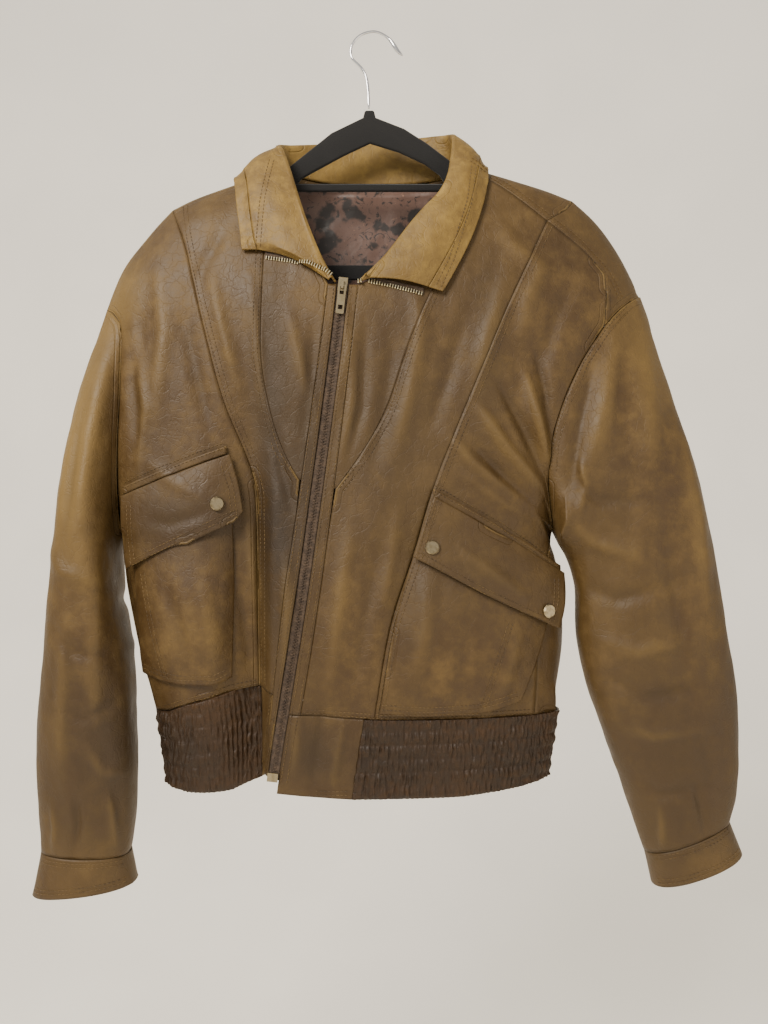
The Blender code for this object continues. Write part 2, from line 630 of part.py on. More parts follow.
# Sleeves: outer and inner point of each section, middle depth, half depth
SLEEVE = {
    RIGHT: [
        (-293.6, -305, -273, -556, 0, 30), (-308, -345, -277, -566, -3, 42),
        (-322, -388, -279, -574, -5, 52), (-331, -440, -279, -584, -5, 57),
        (-338, -500, -278, -600, -5, 58), (-345, -560, -275, -625, -5, 57),
        (-352, -625, -268, -660, -5, 54), (-360, -700, -262, -715, -5, 49),
        (-366, -780, -259, -785, -6, 43), (-363, -850, -258, -852, -7, 37),
        (-361, -891.5, -264, -895, -8, 32),
    ],
    LEFT: [
        (292.5, -290.6, 196, -548, 0, 45), (303, -325, 200, -557, -3, 46),
        (313, -358, 203, -563, -5, 46), (327, -400, 206.5, -569, -7, 46),
        (341, -450, 210, -577, -9, 45), (354, -505, 214, -590, -10, 44),
        (366, -560, 218, -609, -10, 43), (380, -635, 219, -652, -10, 42),
        (390, -700, 226, -697, -10, 41), (395.5, -765, 241, -747, -10, 39),
        (394, -820, 264, -806, -10, 36), (384.5, -857.5, 294, -893.5, -10, 31),
    ],
}
CUFF = {
    RIGHT: [(-361, -892, -264, -895.4, -8, 32.5), (-365.5, -916, -261, -911, -8, 33.5),
            (-370, -940, -258, -927, -8, 34)],
    LEFT: [(384.5, -858, 294, -894, -10, 31.5), (391.5, -876, 298, -912, -10, 32.5),
           (398.5, -894, 302, -930, -10, 33)],
}


def armhole_loop(side):
    """The armhole seam from its top, down the front and up the back."""
    phi = np.linspace(0, 2 * np.pi, LOOP_POINTS, endpoint=False)
    middle, half = (ARM_TOP[side] + ARM_BOTTOM[side]) / 2, (ARM_TOP[side] - ARM_BOTTOM[side]) / 2
    z = middle + half * np.cos(phi)
    beta = side * 90.0 if side == LEFT else 270.0
    return body_point(np.where(np.sin(phi) >= -1e-9, beta - side * 1e-4, beta + side * 1e-4), z), phi


def section(station, phi):
    """One rounded section through a sleeve or a cuff."""
    outer_x, outer_z, inner_x, inner_z, depth, half_depth = station
    outer, inner = np.array([outer_x, depth, outer_z]), np.array([inner_x, depth, inner_z])
    power = 0.88
    length = np.sign(np.cos(phi)) * np.abs(np.cos(phi)) ** power
    across = np.sign(np.sin(phi)) * np.abs(np.sin(phi)) ** power
    ring = (outer + inner) / 2 + (outer - inner) / 2 * length[:, None]
    return ring - np.array([0, half_depth, 0]) * across[:, None]


def sleeve_rings(side, count):
    """Rings from the armhole to the cuff seam, the first one the armhole itself."""
    loop, phi = armhole_loop(side)
    stations = along(SLEEVE[side], count)
    first = section(stations[0], phi)
    rings = []
    for k, station in enumerate(stations):
        fade = (1 - min(k / (0.3 * count), 1)) ** 1.5
        ring = section(station, phi) + fade * (loop - first)
        if side == LEFT:
            swell = np.exp(-(((phi - 2.5) / 0.45) ** 2) - ((k / count - 0.12) / 0.07) ** 2)
            ring = ring + swell[:, None] * np.array([-13, -20, 4]) * min(k / 2, 1)
        rings.append(ring)
    rings[0] = loop
    return np.array(rings), phi


def tube_normals(rings):
    down = np.gradient(rings, axis=0)
    around = np.roll(rings, -1, axis=1) - np.roll(rings, 1, axis=1)
    normal = unit(np.cross(around, down))
    middle = rings.mean(axis=1, keepdims=True)
    outwards = np.sum((rings - middle) * normal, -1, keepdims=True)
    return normal * np.sign(outwards.mean())


def tube(name, rings, normals, wall, kind="leather"):
    outer = drawn_in(rings, SEAM / 2, closed=True)
    inner = drawn_in(rings - normals * wall, SEAM / 2, closed=True)
    wall_solid(name, outer, inner, kind, closed=True)


def sleeves():
    for side, name in ((RIGHT, "right"), (LEFT, "left")):
        rings, phi = sleeve_rings(side, SLEEVE_ROWS)
        normals = tube_normals(rings)
        normals[0] = loop_normal(side, phi, -1)
        tube(name + "_sleeve", rings, normals, WALL)
        rings = np.array([section(s, phi) for s in CUFF[side]])
        tube(name + "_cuff", rings, tube_normals(rings), BAND_WALL)


def zip_strips():
    """The leather strips and the zip's two tapes, from the neck to the hem."""
    for side, name in ((RIGHT, "right"), (LEFT, "left")):
        edges = [joined(*strip_edge(side, line)) for line in (placket_edge, tape_edge, middle_edge)]
        ends = [line(side, FOOT[side], ZIP_FOOT, 4) for line in (placket_edge, tape_edge, middle_edge)]
        whole = [joined(upper, lower) for upper, lower in zip(edges, ends)]
        strip = edges[:2] if side == LEFT else whole[:2]
        cloth(name + "_placket", on_front(strip_grid(strip[0], strip[1], side)), top=0.4)
        cloth(name + "_zip_tape", on_front(strip_grid(whole[1], whole[2], side)), "tape", -1.0, TAPE_WALL)


def middle_edge(side, top, bottom, count):
    z = np.linspace(top, bottom, count + 1)
    return np.stack([smooth(ZIP_LINE, z), z], -1)


def strip_grid(outer, inner, side):
    """Two columns between two edges, with the outer edge away from the zip."""
    edges = (outer, inner) if side == RIGHT else (inner, outer)
    return np.stack(edges, 1)


def zip_tops():
    """The free ends of the zip, turned back under the collar's front edges."""
    for side, name in ((RIGHT, "right"), (LEFT, "left")):
        teeth = along(ZIP_TOPS[side], 8)
        width = np.linspace(3.5, 6, 9)[:, None] * (0, 1)
        grid = np.stack([teeth + width, teeth], 0)
        cloth(name + "_zip_top", on_front(grid), "tape", 1.5, TAPE_WALL)


def pouch_shape(u, v):
    return np.clip(np.sin(np.pi * u), 0, 1) ** 0.5 * np.clip(np.sin(np.pi * v), 0, 1) ** 0.8


def pockets():
    """Pouches puffed over the side fronts, each under a welt and a flap with its studs."""
    for side, name in ((RIGHT, "right"), (LEFT, "left")):
        left, right, top, bottom = (along(line, 9) for line in POUCH[side])
        u, v = np.meshgrid(np.linspace(0, 1, 10), np.linspace(0, 1, 10))
        rise = POUCH_LIFT[side] + WALL + POUCH_RISE * pouch_shape(u, v)
        cloth(name + "_pouch", on_front(fill(left, right, top, bottom)), top=rise)

        left, right, top, bottom = (along(line, count) for line, count in zip(FLAP[side], (5, 5, 9, 9)))
        u, v = np.meshgrid(np.linspace(0, 1, 10), np.linspace(0, 1, 6))
        side_fade = 0.55 + 0.45 * np.clip(np.sin(np.pi * u), 0, 1) ** 0.5
        rise = POUCH_LIFT[side] + 2 * WALL + FLAP_LIFT[side] + POUCH_RISE * side_fade * np.sin(np.pi / 2 * v) ** 0.7
        grid = on_front(fill(left, right, top, bottom))
        cloth(name + "_flap", grid, top=rise)
        studs(name, side, grid, rise)

        upper = along(WELT[side], 9)
        grid = np.stack([upper, upper - (0, WELT_WIDTH)], 0)
        cloth(name + "_welt", on_front(grid), top=WELT_LIFT[side] + WELT_WALL, wall=WELT_WALL)


def studs(name, side, grid, rise):
    """Press studs on a flap, each over the flap's nearest point."""
    outer, _ = levels(grid, rise, WALL)
    normal = seam_normal(grid[..., 0], grid[..., 1])
    for number, place in enumerate(STUDS[side], 1):
        gap = np.linalg.norm(outer[..., (0, 2)] - np.array(place), axis=-1)
        near = np.argsort(gap.ravel())[:3]
        weight = 1 / (gap.ravel()[near] + 1)
        base = (outer.reshape(-1, 3)[near] * weight[:, None]).sum(0) / weight.sum()
        axis = unit(normal.reshape(-1, 3)[near].mean(0))
        base = base + axis * STUD_SEAT[side, number]
        turned(f"{name}_stud_{number}", base, axis, STUD_PROFILE, 12, "nickel")


def turned(name, base, axis, profile, count, kind):
    """A turned piece: rings of (radius, height) along an axis, closed at both ends."""
    side = unit(np.cross(axis, (0, 0, 1.0)))
    up = np.cross(side, axis)
    angle = np.linspace(0, 2 * np.pi, count, endpoint=False)[:, None]
    ring = side * np.cos(angle) + up * np.sin(angle)
    skin = [base + axis * height + ring * radius for radius, height in profile]
    capped_tube(name, skin, kind)


def capped_tube(name, rings, kind):
    bm = bmesh.new()
    rows = [[bm.verts.new(p * MM) for p in ring] for ring in rings]
    for low, high in zip(rows[:-1], rows[1:]):
        for k in range(len(low)):
            bm.faces.new((low[k - 1], low[k], high[k], high[k - 1]))
    bm.faces.new(rows[0])
    bm.faces.new(rows[-1])
    close_mesh(name, bm, kind)


def body_cloud():
    """Points all over the shoulders with their outward directions."""
    beta, z = np.meshgrid(np.arange(-89.9, 269, 1.5), -147 - 175 * np.linspace(0, 1, 90) ** 1.5)
    return body_point(beta, z).reshape(-1, 3), body_normal(beta, z).reshape(-1, 3)


def clear_of_body(points, cloud, gap):
    """Moves points outwards until they stand clear of the body."""
    places, normals = cloud
    moved = points.copy()
    for _ in range(3):
        for index in np.ndindex(points.shape[:-1]):
            away = moved[index] - places
            near = np.argmin(np.einsum("ij,ij->i", away, away))
            height = away[near] @ normals[near]
            at_ridge = RIDGE_CLEARANCE * np.exp(-(moved[index][1] / 12) ** 2)
            moved[index] += normals[near] * max(gap + at_ridge - height, 0)
    return moved


def collar_line(part):
    """One property of the collar's stations, smoothed to the rows that are built."""
    keys = np.arange(len(COLLAR))
    values = np.array([station[part] for station in COLLAR], float).reshape(len(COLLAR), -1)
    return np.stack([smooth(list(zip(keys, column)), COLLAR_ROWS) for column in values.T], -1)


def face_point(places, front):
    """Body points at (x, z) places on the front or the back."""
    ahead = body_point(beta_of(places[:, 0], places[:, 1]), places[:, 1])
    behind = body_point(beta_of(places[:, 0], places[:, 1], BACK), places[:, 1])
    return np.where(front, ahead, behind)


def collar_surface():
    """Middle surface of the collar from the neck seam over the fold to its outer edge."""
    seam, fold, corner, fullness, bow = (collar_line(part) for part in range(5))
    front = fold[:, 1:2] < 0
    start, end = face_point(seam[:, :2], front), face_point(corner[:, :2], front)
    run = unit(np.gradient(fold, axis=0))
    rise = fold - start
    rise = unit(rise - run * np.sum(rise * run, -1, keepdims=True))
    outwards = np.cross(run, rise)
    outwards = unit(outwards * np.sign(np.sum(outwards * (end - fold), -1, keepdims=True)))
    start = start + unit(fold - start) * 0.5 + rise * 1.1
    stand = [start, (start + fold) / 2, fold]
    turn = [fold + FOLD_RADIUS * (outwards * (1 - np.cos(a)) + rise * np.sin(a))
            for a in np.radians((55, 125, 180))]
    reach = end - turn[-1]
    leaf_normal = np.cross(run, unit(reach))
    leaf_normal = unit(leaf_normal * np.sign(np.sum(leaf_normal * outwards, -1, keepdims=True)))
    cloud = body_cloud()
    leaf = []
    for share in np.linspace(0, 1, 8)[1:]:
        swell = np.sin(np.pi * share) * (leaf_normal * fullness + bow * np.array([0, 0, 1]))
        leaf.append(clear_of_body(turn[-1] + reach * share + swell, cloud, LEAF_CLEARANCE))
    return np.array(stand + turn), np.array(leaf)


def collar():
    """The folded collar and the band along its outer edge."""
    stand, leaf = collar_surface()
    leaf = np.concatenate([stand[-1:], leaf])
    steps = np.linalg.norm(np.diff(leaf, axis=0), axis=-1)
    run = np.concatenate([np.zeros((1, steps.shape[1])), np.cumsum(steps, axis=0)])
    columns = []
    for column in range(leaf.shape[1]):
        cut = run[-1, column] - COLLAR_BAND
        at = np.concatenate([np.linspace(0, cut, 5)[1:], np.linspace(cut, run[-1, column], 3)[1:]])
        columns.append([[np.interp(t, run[:, column], leaf[:, column, k]) for k in range(3)] for t in at])
    grid = np.concatenate([stand, np.swapaxes(columns, 0, 1)])
    normal = np.cross(np.gradient(grid, axis=1), np.gradient(grid, axis=0))
    normal = unit(normal) * np.sign(-normal[-1, 0, 1])
    split = len(stand) + 3
    for name, part, wall in (("collar", slice(0, split + 1), COLLAR_WALL),
                             ("collar_edge_band", slice(split, None), COLLAR_WALL + 0.6)):
        shift = normal[part] * wall / 2
        outer, inner = drawn_in(grid[part] + shift, SEAM / 2), drawn_in(grid[part] - shift, SEAM / 2)
        wall_solid(name, outer, inner, "leather")


def even_turns(start, end, count):
    """Shares from start to end that are evenly spaced along the waist's outline."""
    share = np.linspace(0, 1, 400)
    points = body_point(start + (end - start) * share, BAND_MIDDLE)
    run = np.concatenate([[0], np.cumsum(np.linalg.norm(np.diff(points, axis=0), axis=1))])
    count = count or 2 * round(run[-1] / GATHER_PITCH)
    return np.interp(np.linspace(0, run[-1], count + 1), run, share)


def band_grid(start, end, rows, count=None):
    """Turns and heights of a stretch of the waistband; start and end are turns at top and foot."""
    shares = even_turns(np.mean(start), np.mean(end), count)
    down = np.array(rows)[:, None]
    first = start[0] + (start[1] - start[0]) * down
    last = end[0] + (end[1] - end[0]) * down
    beta = first + (last - first) * shares
    top, foot = waist_top(beta[0]) - SEAM, hem(beta[-1])
    return np.stack([beta, top + (foot - top) * down], -1)


def waist_top(beta):
    """Height of the waist seam by turn round the body."""
    front = np.full(beta.shape, -740.0)
    for _ in range(5):
        x = body_point(beta, front)[..., 0]
        right = np.interp(x, *np.transpose(WAIST_TOP_RIGHT))
        front = np.where(x < -95, right, np.interp(x, *np.transpose(WAIST_TOP_LEFT)))
    return np.where(np.cos(np.radians(beta)) > 0, front, -742.0)


def hem(beta):
    x = body_point(beta, -820)[..., 0]
    front, back = np.interp(x, *np.transpose(HEM)), np.interp(x, *np.transpose(HEM_BACK))
    return np.where(np.cos(np.radians(beta)) > 0, front, back)


def shirred(name, start, end, inner_rows=(0, -1)):
    """A gathered stretch of the waistband: ridges in its outside over a plain inside."""
    grid = band_grid(start, end, (0, 0.33, 0.67, 1))
    beta, z = grid[..., 0], grid[..., 1]
    ridge = np.where(np.arange(beta.shape[1]) % 2, GATHER_HEIGHT, 0.0)
    fullness = np.array([0.3, 1, 1, 0.5])[:, None]
    outer = body_point(beta, z) + body_normal(beta, z) * (ridge * fullness)[..., None]
    beta, z = beta[list(inner_rows)], z[list(inner_rows)]
    inner = body_point(beta, z) - body_normal(beta, z) * BAND_WALL
    wall_solid(name, drawn_in(outer, SEAM / 2), drawn_in(inner, SEAM / 2), "trim")


def turns(*places):
    return [float(beta_of(x, z)) for x, z in places]


def waistband():
    """Shirred stretches, the plain strips at the sides and the plain tab beside the zip."""
    tab = [(-9.6, -742), (-22, -825)]
    shirred("waist_right_shirred", (-82, -82), turns((-121.2, -712), (-121.2, -812)), range(4))
    inner = placket_edge(RIGHT, FOOT[RIGHT], ZIP_FOOT, 4)
    outer = along([(-119.6, -712.6), (-119.6, -810)], 4)
    cloth("waist_right_tab", on_front(np.stack([outer, inner], 1)), wall=BAND_WALL)
    start = turns(*((x + SEAM, z) for x, z in tab))
    shirred("waist_left_shirred", start, (82, 82))
    shirred("waist_back_shirred", (96, 96), (262, 262))
    for name, start, end in (("waist_left_strip", 82, 96), ("waist_right_strip", 262, 278)):
        cloth(name, band_grid((start, start), (end, end), (0, 0.5, 1), 4), "trim", wall=BAND_WALL)
    inner, outer = tape_edge(LEFT, FOOT[LEFT], -820, 4), along(tab, 4)
    x = np.linspace(inner[0, 0], outer[0, 0], 7)
    top = np.stack([x, np.interp(x, *np.transpose(WAIST_TOP_LEFT)) - SEAM], -1)
    inner[0], outer[0] = top[0], top[-1]
    cloth("waist_left_tab", on_front(fill(inner, outer, top, [inner[-1], outer[-1]])), wall=BAND_WALL)


def lining():
    """The back's lining, as far down as it shows through the neck."""
    left = [(86, -158), (104, -195), (122, -240), (128, -320)]
    right = [(-88, -158), (-106, -195), (-124, -240), (-130, -320)]
    top = along([(86, -158), (58, -161), (22, -163), (-22, -163), (-60, -161), (-88, -158)], 8)
    grid = fill(along(left, 5), along(right, 5), top, [left[-1], right[-1]])
    cloth("lining_back", on_back(grid), "lining", -(WALL + LINING_GAP), LINING_WALL)


def plate(name, loops, place, low, high, kind):
    """A flat piece with holes: loops of points, set between two levels by place()."""
    flat = bmesh.new()
    for loop in loops:
        ring = [flat.verts.new((a, b, 0)) for a, b in loop]
        for k in range(len(ring)):
            flat.edges.new((ring[k - 1], ring[k]))
    bmesh.ops.triangle_fill(flat, use_beauty=True, use_dissolve=False, edges=flat.edges)
    flat.verts.index_update()
    bm = bmesh.new()
    skins = [[bm.verts.new(place(v.co.x, v.co.y, level) * MM) for v in flat.verts] for level in (low, high)]
    for face in flat.faces:
        for skin in skins:
            bm.faces.new([skin[v.index] for v in face.verts])
    for rim in flat.edges:
        if rim.is_boundary:
            a, b = (v.index for v in rim.verts)
            bm.faces.new((skins[0][a], skins[0][b], skins[1][b], skins[1][a]))
    flat.free()
    return close_mesh(name, bm, kind)


def hanger():
    """The flocked body and the wire hook, whose apex holds everything."""
    loops = (HANGER_OUTLINE, *HANGER_HOLES)
    plate("hanger_body", loops, lambda a, b, h: np.array([a, h, b]), -HANGER_HALF_THICKNESS,
          HANGER_HALF_THICKNESS, "velvet")
    path = np.array([(x, 0, z) for x, z in HOOK_PATH], float)
    path = along(path, 22)
    run = unit(np.gradient(path, axis=0))
    radius = np.full(len(path), WIRE_RADIUS)
    radius[-5:] = WIRE_RADIUS, 2.4, 3.0, 2.4, 1.0
    angle = np.linspace(0, 2 * np.pi, 8, endpoint=False)[:, None]
    aside = np.array([0, 1.0, 0])
    rings = [p + r * (aside * np.cos(angle) + np.cross(aside, d) * np.sin(angle))
             for p, d, r in zip(path, run, radius)]
    capped_tube("hanger_hook", rings, "chrome")


def zip_frame():
    """Anchor of the slider and its directions: across, down along the zip, and out."""
    x, z = smooth(ZIP_LINE, ANCHOR_HEIGHT), ANCHOR_HEIGHT
    anchor = body_point(beta_of(x, z), z)
    down = unit(np.array([smooth(ZIP_LINE, z - 30) - x, 0.0, -30.0]))
    out = np.array([0, -1.0, 0])
    return anchor, np.cross(out, down), down, out


def slider():
    """The slider with its bridge, and the pull tab that swings on it."""
    anchor, across, down, out = zip_frame()
    place = lambda a, b, h: anchor + across * a + down * b + out * h
    half, neck = SLIDER_WIDTH / 2, BRIDGE_WIDTH / 2
    faces = slider_faces(half, neck)
    bm = bmesh.new()
    for face in faces:
        bm.faces.new([bm.verts.new(place(*point) * MM) for point in face])
    close_mesh("zip_slider", bm, "nickel")
    low, high = PIVOT_LEVEL - PULL_WALL / 2, PIVOT_LEVEL + PULL_WALL / 2
    tab = plate("zip_pull", (PULL_OUTLINE, *PULL_HOLES), place, low, high, "nickel")
    pivot = place(0, 0, PIVOT_LEVEL) * MM
    tab.data.transform(Matrix.Translation(-Vector(pivot)))
    tab.location = pivot
    foot = body_point(beta_of(-98, -802), -802)
    foot[0] = smooth(ZIP_LINE, -802)
    plate("zip_box", ([(-5.5, -4.5), (5.5, -4.5), (5.5, 4.5), (-5.5, 4.5)],),
          lambda a, b, h: foot + across * a - down * b + out * h, 0.1, 2.6, "nickel")


def slider_faces(half, neck):
    """Faces of the slider as (across, down, out) points: a block with an arched bridge on it."""
    low, top = -0.6, SLIDER_TOP
    legs = [BRIDGE[0], BRIDGE[0] + BRIDGE_THICKNESS, BRIDGE[1] - BRIDGE_THICKNESS, BRIDGE[1]]
    start, end = SLIDER_LENGTH
    inner, outer = top + BRIDGE_ROOM, top + BRIDGE_ROOM + BRIDGE_THICKNESS
    faces = [
        [(-half, start, low), (half, start, low), (half, end, low), (-half, end, low)],
        [(-half, start, low), (half, start, low), (half, start, top), (neck, start, top), (-neck, start, top),
         (-half, start, top)],
        [(-half, end, low), (half, end, low), (half, end, top), (neck, end, top), (-neck, end, top),
         (-half, end, top)],
        [(-neck, start, top), (neck, start, top), (neck, legs[0], top), (-neck, legs[0], top)],
        [(-neck, legs[1], top), (neck, legs[1], top), (neck, legs[2], top), (-neck, legs[2], top)],
        [(-neck, legs[3], top), (neck, legs[3], top), (neck, end, top), (-neck, end, top)],
        [(-neck, legs[0], top), (neck, legs[0], top), (neck, legs[0], outer), (-neck, legs[0], outer)],
        [(-neck, legs[0], outer), (neck, legs[0], outer), (neck, legs[3], outer), (-neck, legs[3], outer)],
        [(-neck, legs[3], outer), (neck, legs[3], outer), (neck, legs[3], top), (-neck, legs[3], top)],
        [(-neck, legs[1], top), (neck, legs[1], top), (neck, legs[1], inner), (-neck, legs[1], inner)],
        [(-neck, legs[1], inner), (neck, legs[1], inner), (neck, legs[2], inner), (-neck, legs[2], inner)],
        [(-neck, legs[2], inner), (neck, legs[2], inner), (neck, legs[2], top), (-neck, legs[2], top)],
    ]
    for side in (-1, 1):
        faces.append([(side * half, start, low), (side * half, end, low), (side * half, end, top),
                      (side * half, start, top)])
        rim = [(side * neck, b, top) for b in (start, *legs, end)]
        faces.append([(side * half, start, top), *rim, (side * half, end, top)])
        faces.append([(side * neck, b, h) for b, h in (
            (legs[0], top), (legs[0], outer), (legs[3], outer), (legs[3], top), (legs[2], top),
            (legs[2], inner), (legs[1], inner), (legs[1], top))])
    return faces


def build():
    clear_scene()
    bibs()
    front_panels()
    back_panel()
    yokes()
    sleeves()
    zip_strips()
    zip_tops()
    pockets()
    collar()
    waistband()
    lining()
    hanger()
    slider()


build()
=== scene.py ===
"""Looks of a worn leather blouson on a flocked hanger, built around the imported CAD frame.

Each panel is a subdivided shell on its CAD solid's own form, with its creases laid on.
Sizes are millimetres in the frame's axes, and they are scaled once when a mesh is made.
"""

import json
import logging
import math
from dataclasses import dataclass, field
from enum import Enum

import bmesh
import bpy
import numpy as np
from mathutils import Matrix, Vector, noise
from mathutils.bvhtree import BVHTree
from mathutils.kdtree import KDTree

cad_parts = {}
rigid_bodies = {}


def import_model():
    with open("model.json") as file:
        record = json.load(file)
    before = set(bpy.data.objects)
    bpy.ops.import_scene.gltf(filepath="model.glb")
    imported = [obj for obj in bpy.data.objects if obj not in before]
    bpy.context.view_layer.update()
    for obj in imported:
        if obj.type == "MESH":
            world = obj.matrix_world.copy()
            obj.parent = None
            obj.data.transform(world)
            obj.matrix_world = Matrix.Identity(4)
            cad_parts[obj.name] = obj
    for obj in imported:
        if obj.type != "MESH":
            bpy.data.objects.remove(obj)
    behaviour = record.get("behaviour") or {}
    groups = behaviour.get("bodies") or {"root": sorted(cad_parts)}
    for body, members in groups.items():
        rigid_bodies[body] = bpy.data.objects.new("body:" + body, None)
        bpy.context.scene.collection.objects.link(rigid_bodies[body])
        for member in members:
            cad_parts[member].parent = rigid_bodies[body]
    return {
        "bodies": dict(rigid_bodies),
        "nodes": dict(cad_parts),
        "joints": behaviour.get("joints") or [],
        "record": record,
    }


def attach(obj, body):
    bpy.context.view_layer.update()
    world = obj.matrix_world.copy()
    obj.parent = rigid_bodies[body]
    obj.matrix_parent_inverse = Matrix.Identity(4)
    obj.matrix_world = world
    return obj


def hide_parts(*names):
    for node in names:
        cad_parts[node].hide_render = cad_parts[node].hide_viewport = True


MM = 0.001
FOLD_STRENGTH = 1.7
FOLD_WIDTH = 0.85
BODY = "jacket"
CAMERA_PLACE = (0.011, -0.95, -0.527)
# Welds the loose triangles of a CAD node, in metres
WELD = 2e-6
# The rise that counts as a full crest in the painted highlight and painted shade of the leather's colour, and the
# depth over which a fold fades from one face of the garment to the other, in millimetres
FULL_RISE = 5.0
FACE_FADE = 20.0
# Past this distance from a border the cloth moves freely, in millimetres
FREE_CLOTH = 9.0
# Two rows of stitches, from the panel's border, in metres
STITCH_ROWS = (0.0026, 0.0078)
LOG = logging.getLogger("jacket")

Line = list[tuple[float, float]]


class Face(Enum):
    """Which face of the garment a line lies on, as the sign of its outward Y."""

    FRONT = -1
    BACK = 1


class Slot(Enum):
    """Material slots of the record."""

    LEATHER = "leather"
    COLLAR = "collar_leather"
    WAIST = "waist_leather"
    TAPE = "zip_tape"
    LINING = "lining"
    VELVET = "velvet"
    CHROME = "hook_chrome"
    BRASS = "antique_brass"


def linear(hex_colour: str) -> tuple[float, float, float, float]:
    """Turns an sRGB hex colour to linear.

    Args:
        hex_colour: six hex digits after a hash sign.

    Returns:
        The linear colour with an alpha of one.
    """
    parts = [int(hex_colour[k:k + 2], 16) / 255 for k in (1, 3, 5)]
    return (*(c / 12.92 if c <= 0.04045 else ((c + 0.055) / 1.055) ** 2.4 for c in parts), 1.0)


# Settings of two nodes that many finishes share: a smooth step from 0 to 1, and a mix of two colours
STEP = {"interpolation_type": "SMOOTHSTEP"}
MIX = {"data_type": "RGBA", "blend_type": "MIX", "clamp_factor": True}


def add_node(tree: bpy.types.NodeTree, kind: str, settings: dict | None = None, **inputs: object) -> bpy.types.Node:
    """Adds a shader node with its settings and links.

    Args:
        tree: the material's node tree.
        kind: the node's type without its ShaderNode prefix.
        settings: values of properties, or of input sockets by name or number.
        inputs: output sockets or values for inputs; names have _ for a space, or i and a number.

    Returns:
        The new node.
    """
    node = tree.nodes.new("ShaderNode" + kind)
    for key, value in (settings or {}).items():
        if isinstance(key, int) or key in node.inputs:
            node.inputs[key].default_value = value
        else:
            setattr(node, key, value)
    for key, source in inputs.items():
        numbered = key[0] == "i" and key[1:].isdigit()
        socket = node.inputs[int(key[1:]) if numbered else key.replace("_", " ")]
        if isinstance(source, bpy.types.NodeSocket):
            tree.links.new(source, socket)
        else:
            socket.default_value = source
    return node


def add_object(name: str, mesh: bpy.types.Mesh) -> bpy.types.Object:
    """Puts a mesh in the scene as a new object.

    Args:
        name: the object's name.
        mesh: its mesh.

    Returns:
        The new object.
    """
    obj = bpy.data.objects.new(name, mesh)
    bpy.context.scene.collection.objects.link(obj)
    return obj


def new_material(name: str) -> tuple[bpy.types.Material, bpy.types.NodeTree, bpy.types.Node]:
    """Makes a material with a bare Principled shader.

    Args:
        name: the material's name.

    Returns:
        The material, its tree and its shader.
    """
    material = bpy.data.materials.new(name)
    material.use_nodes = True
    tree = material.node_tree
    return material, tree, tree.nodes["Principled BSDF"]


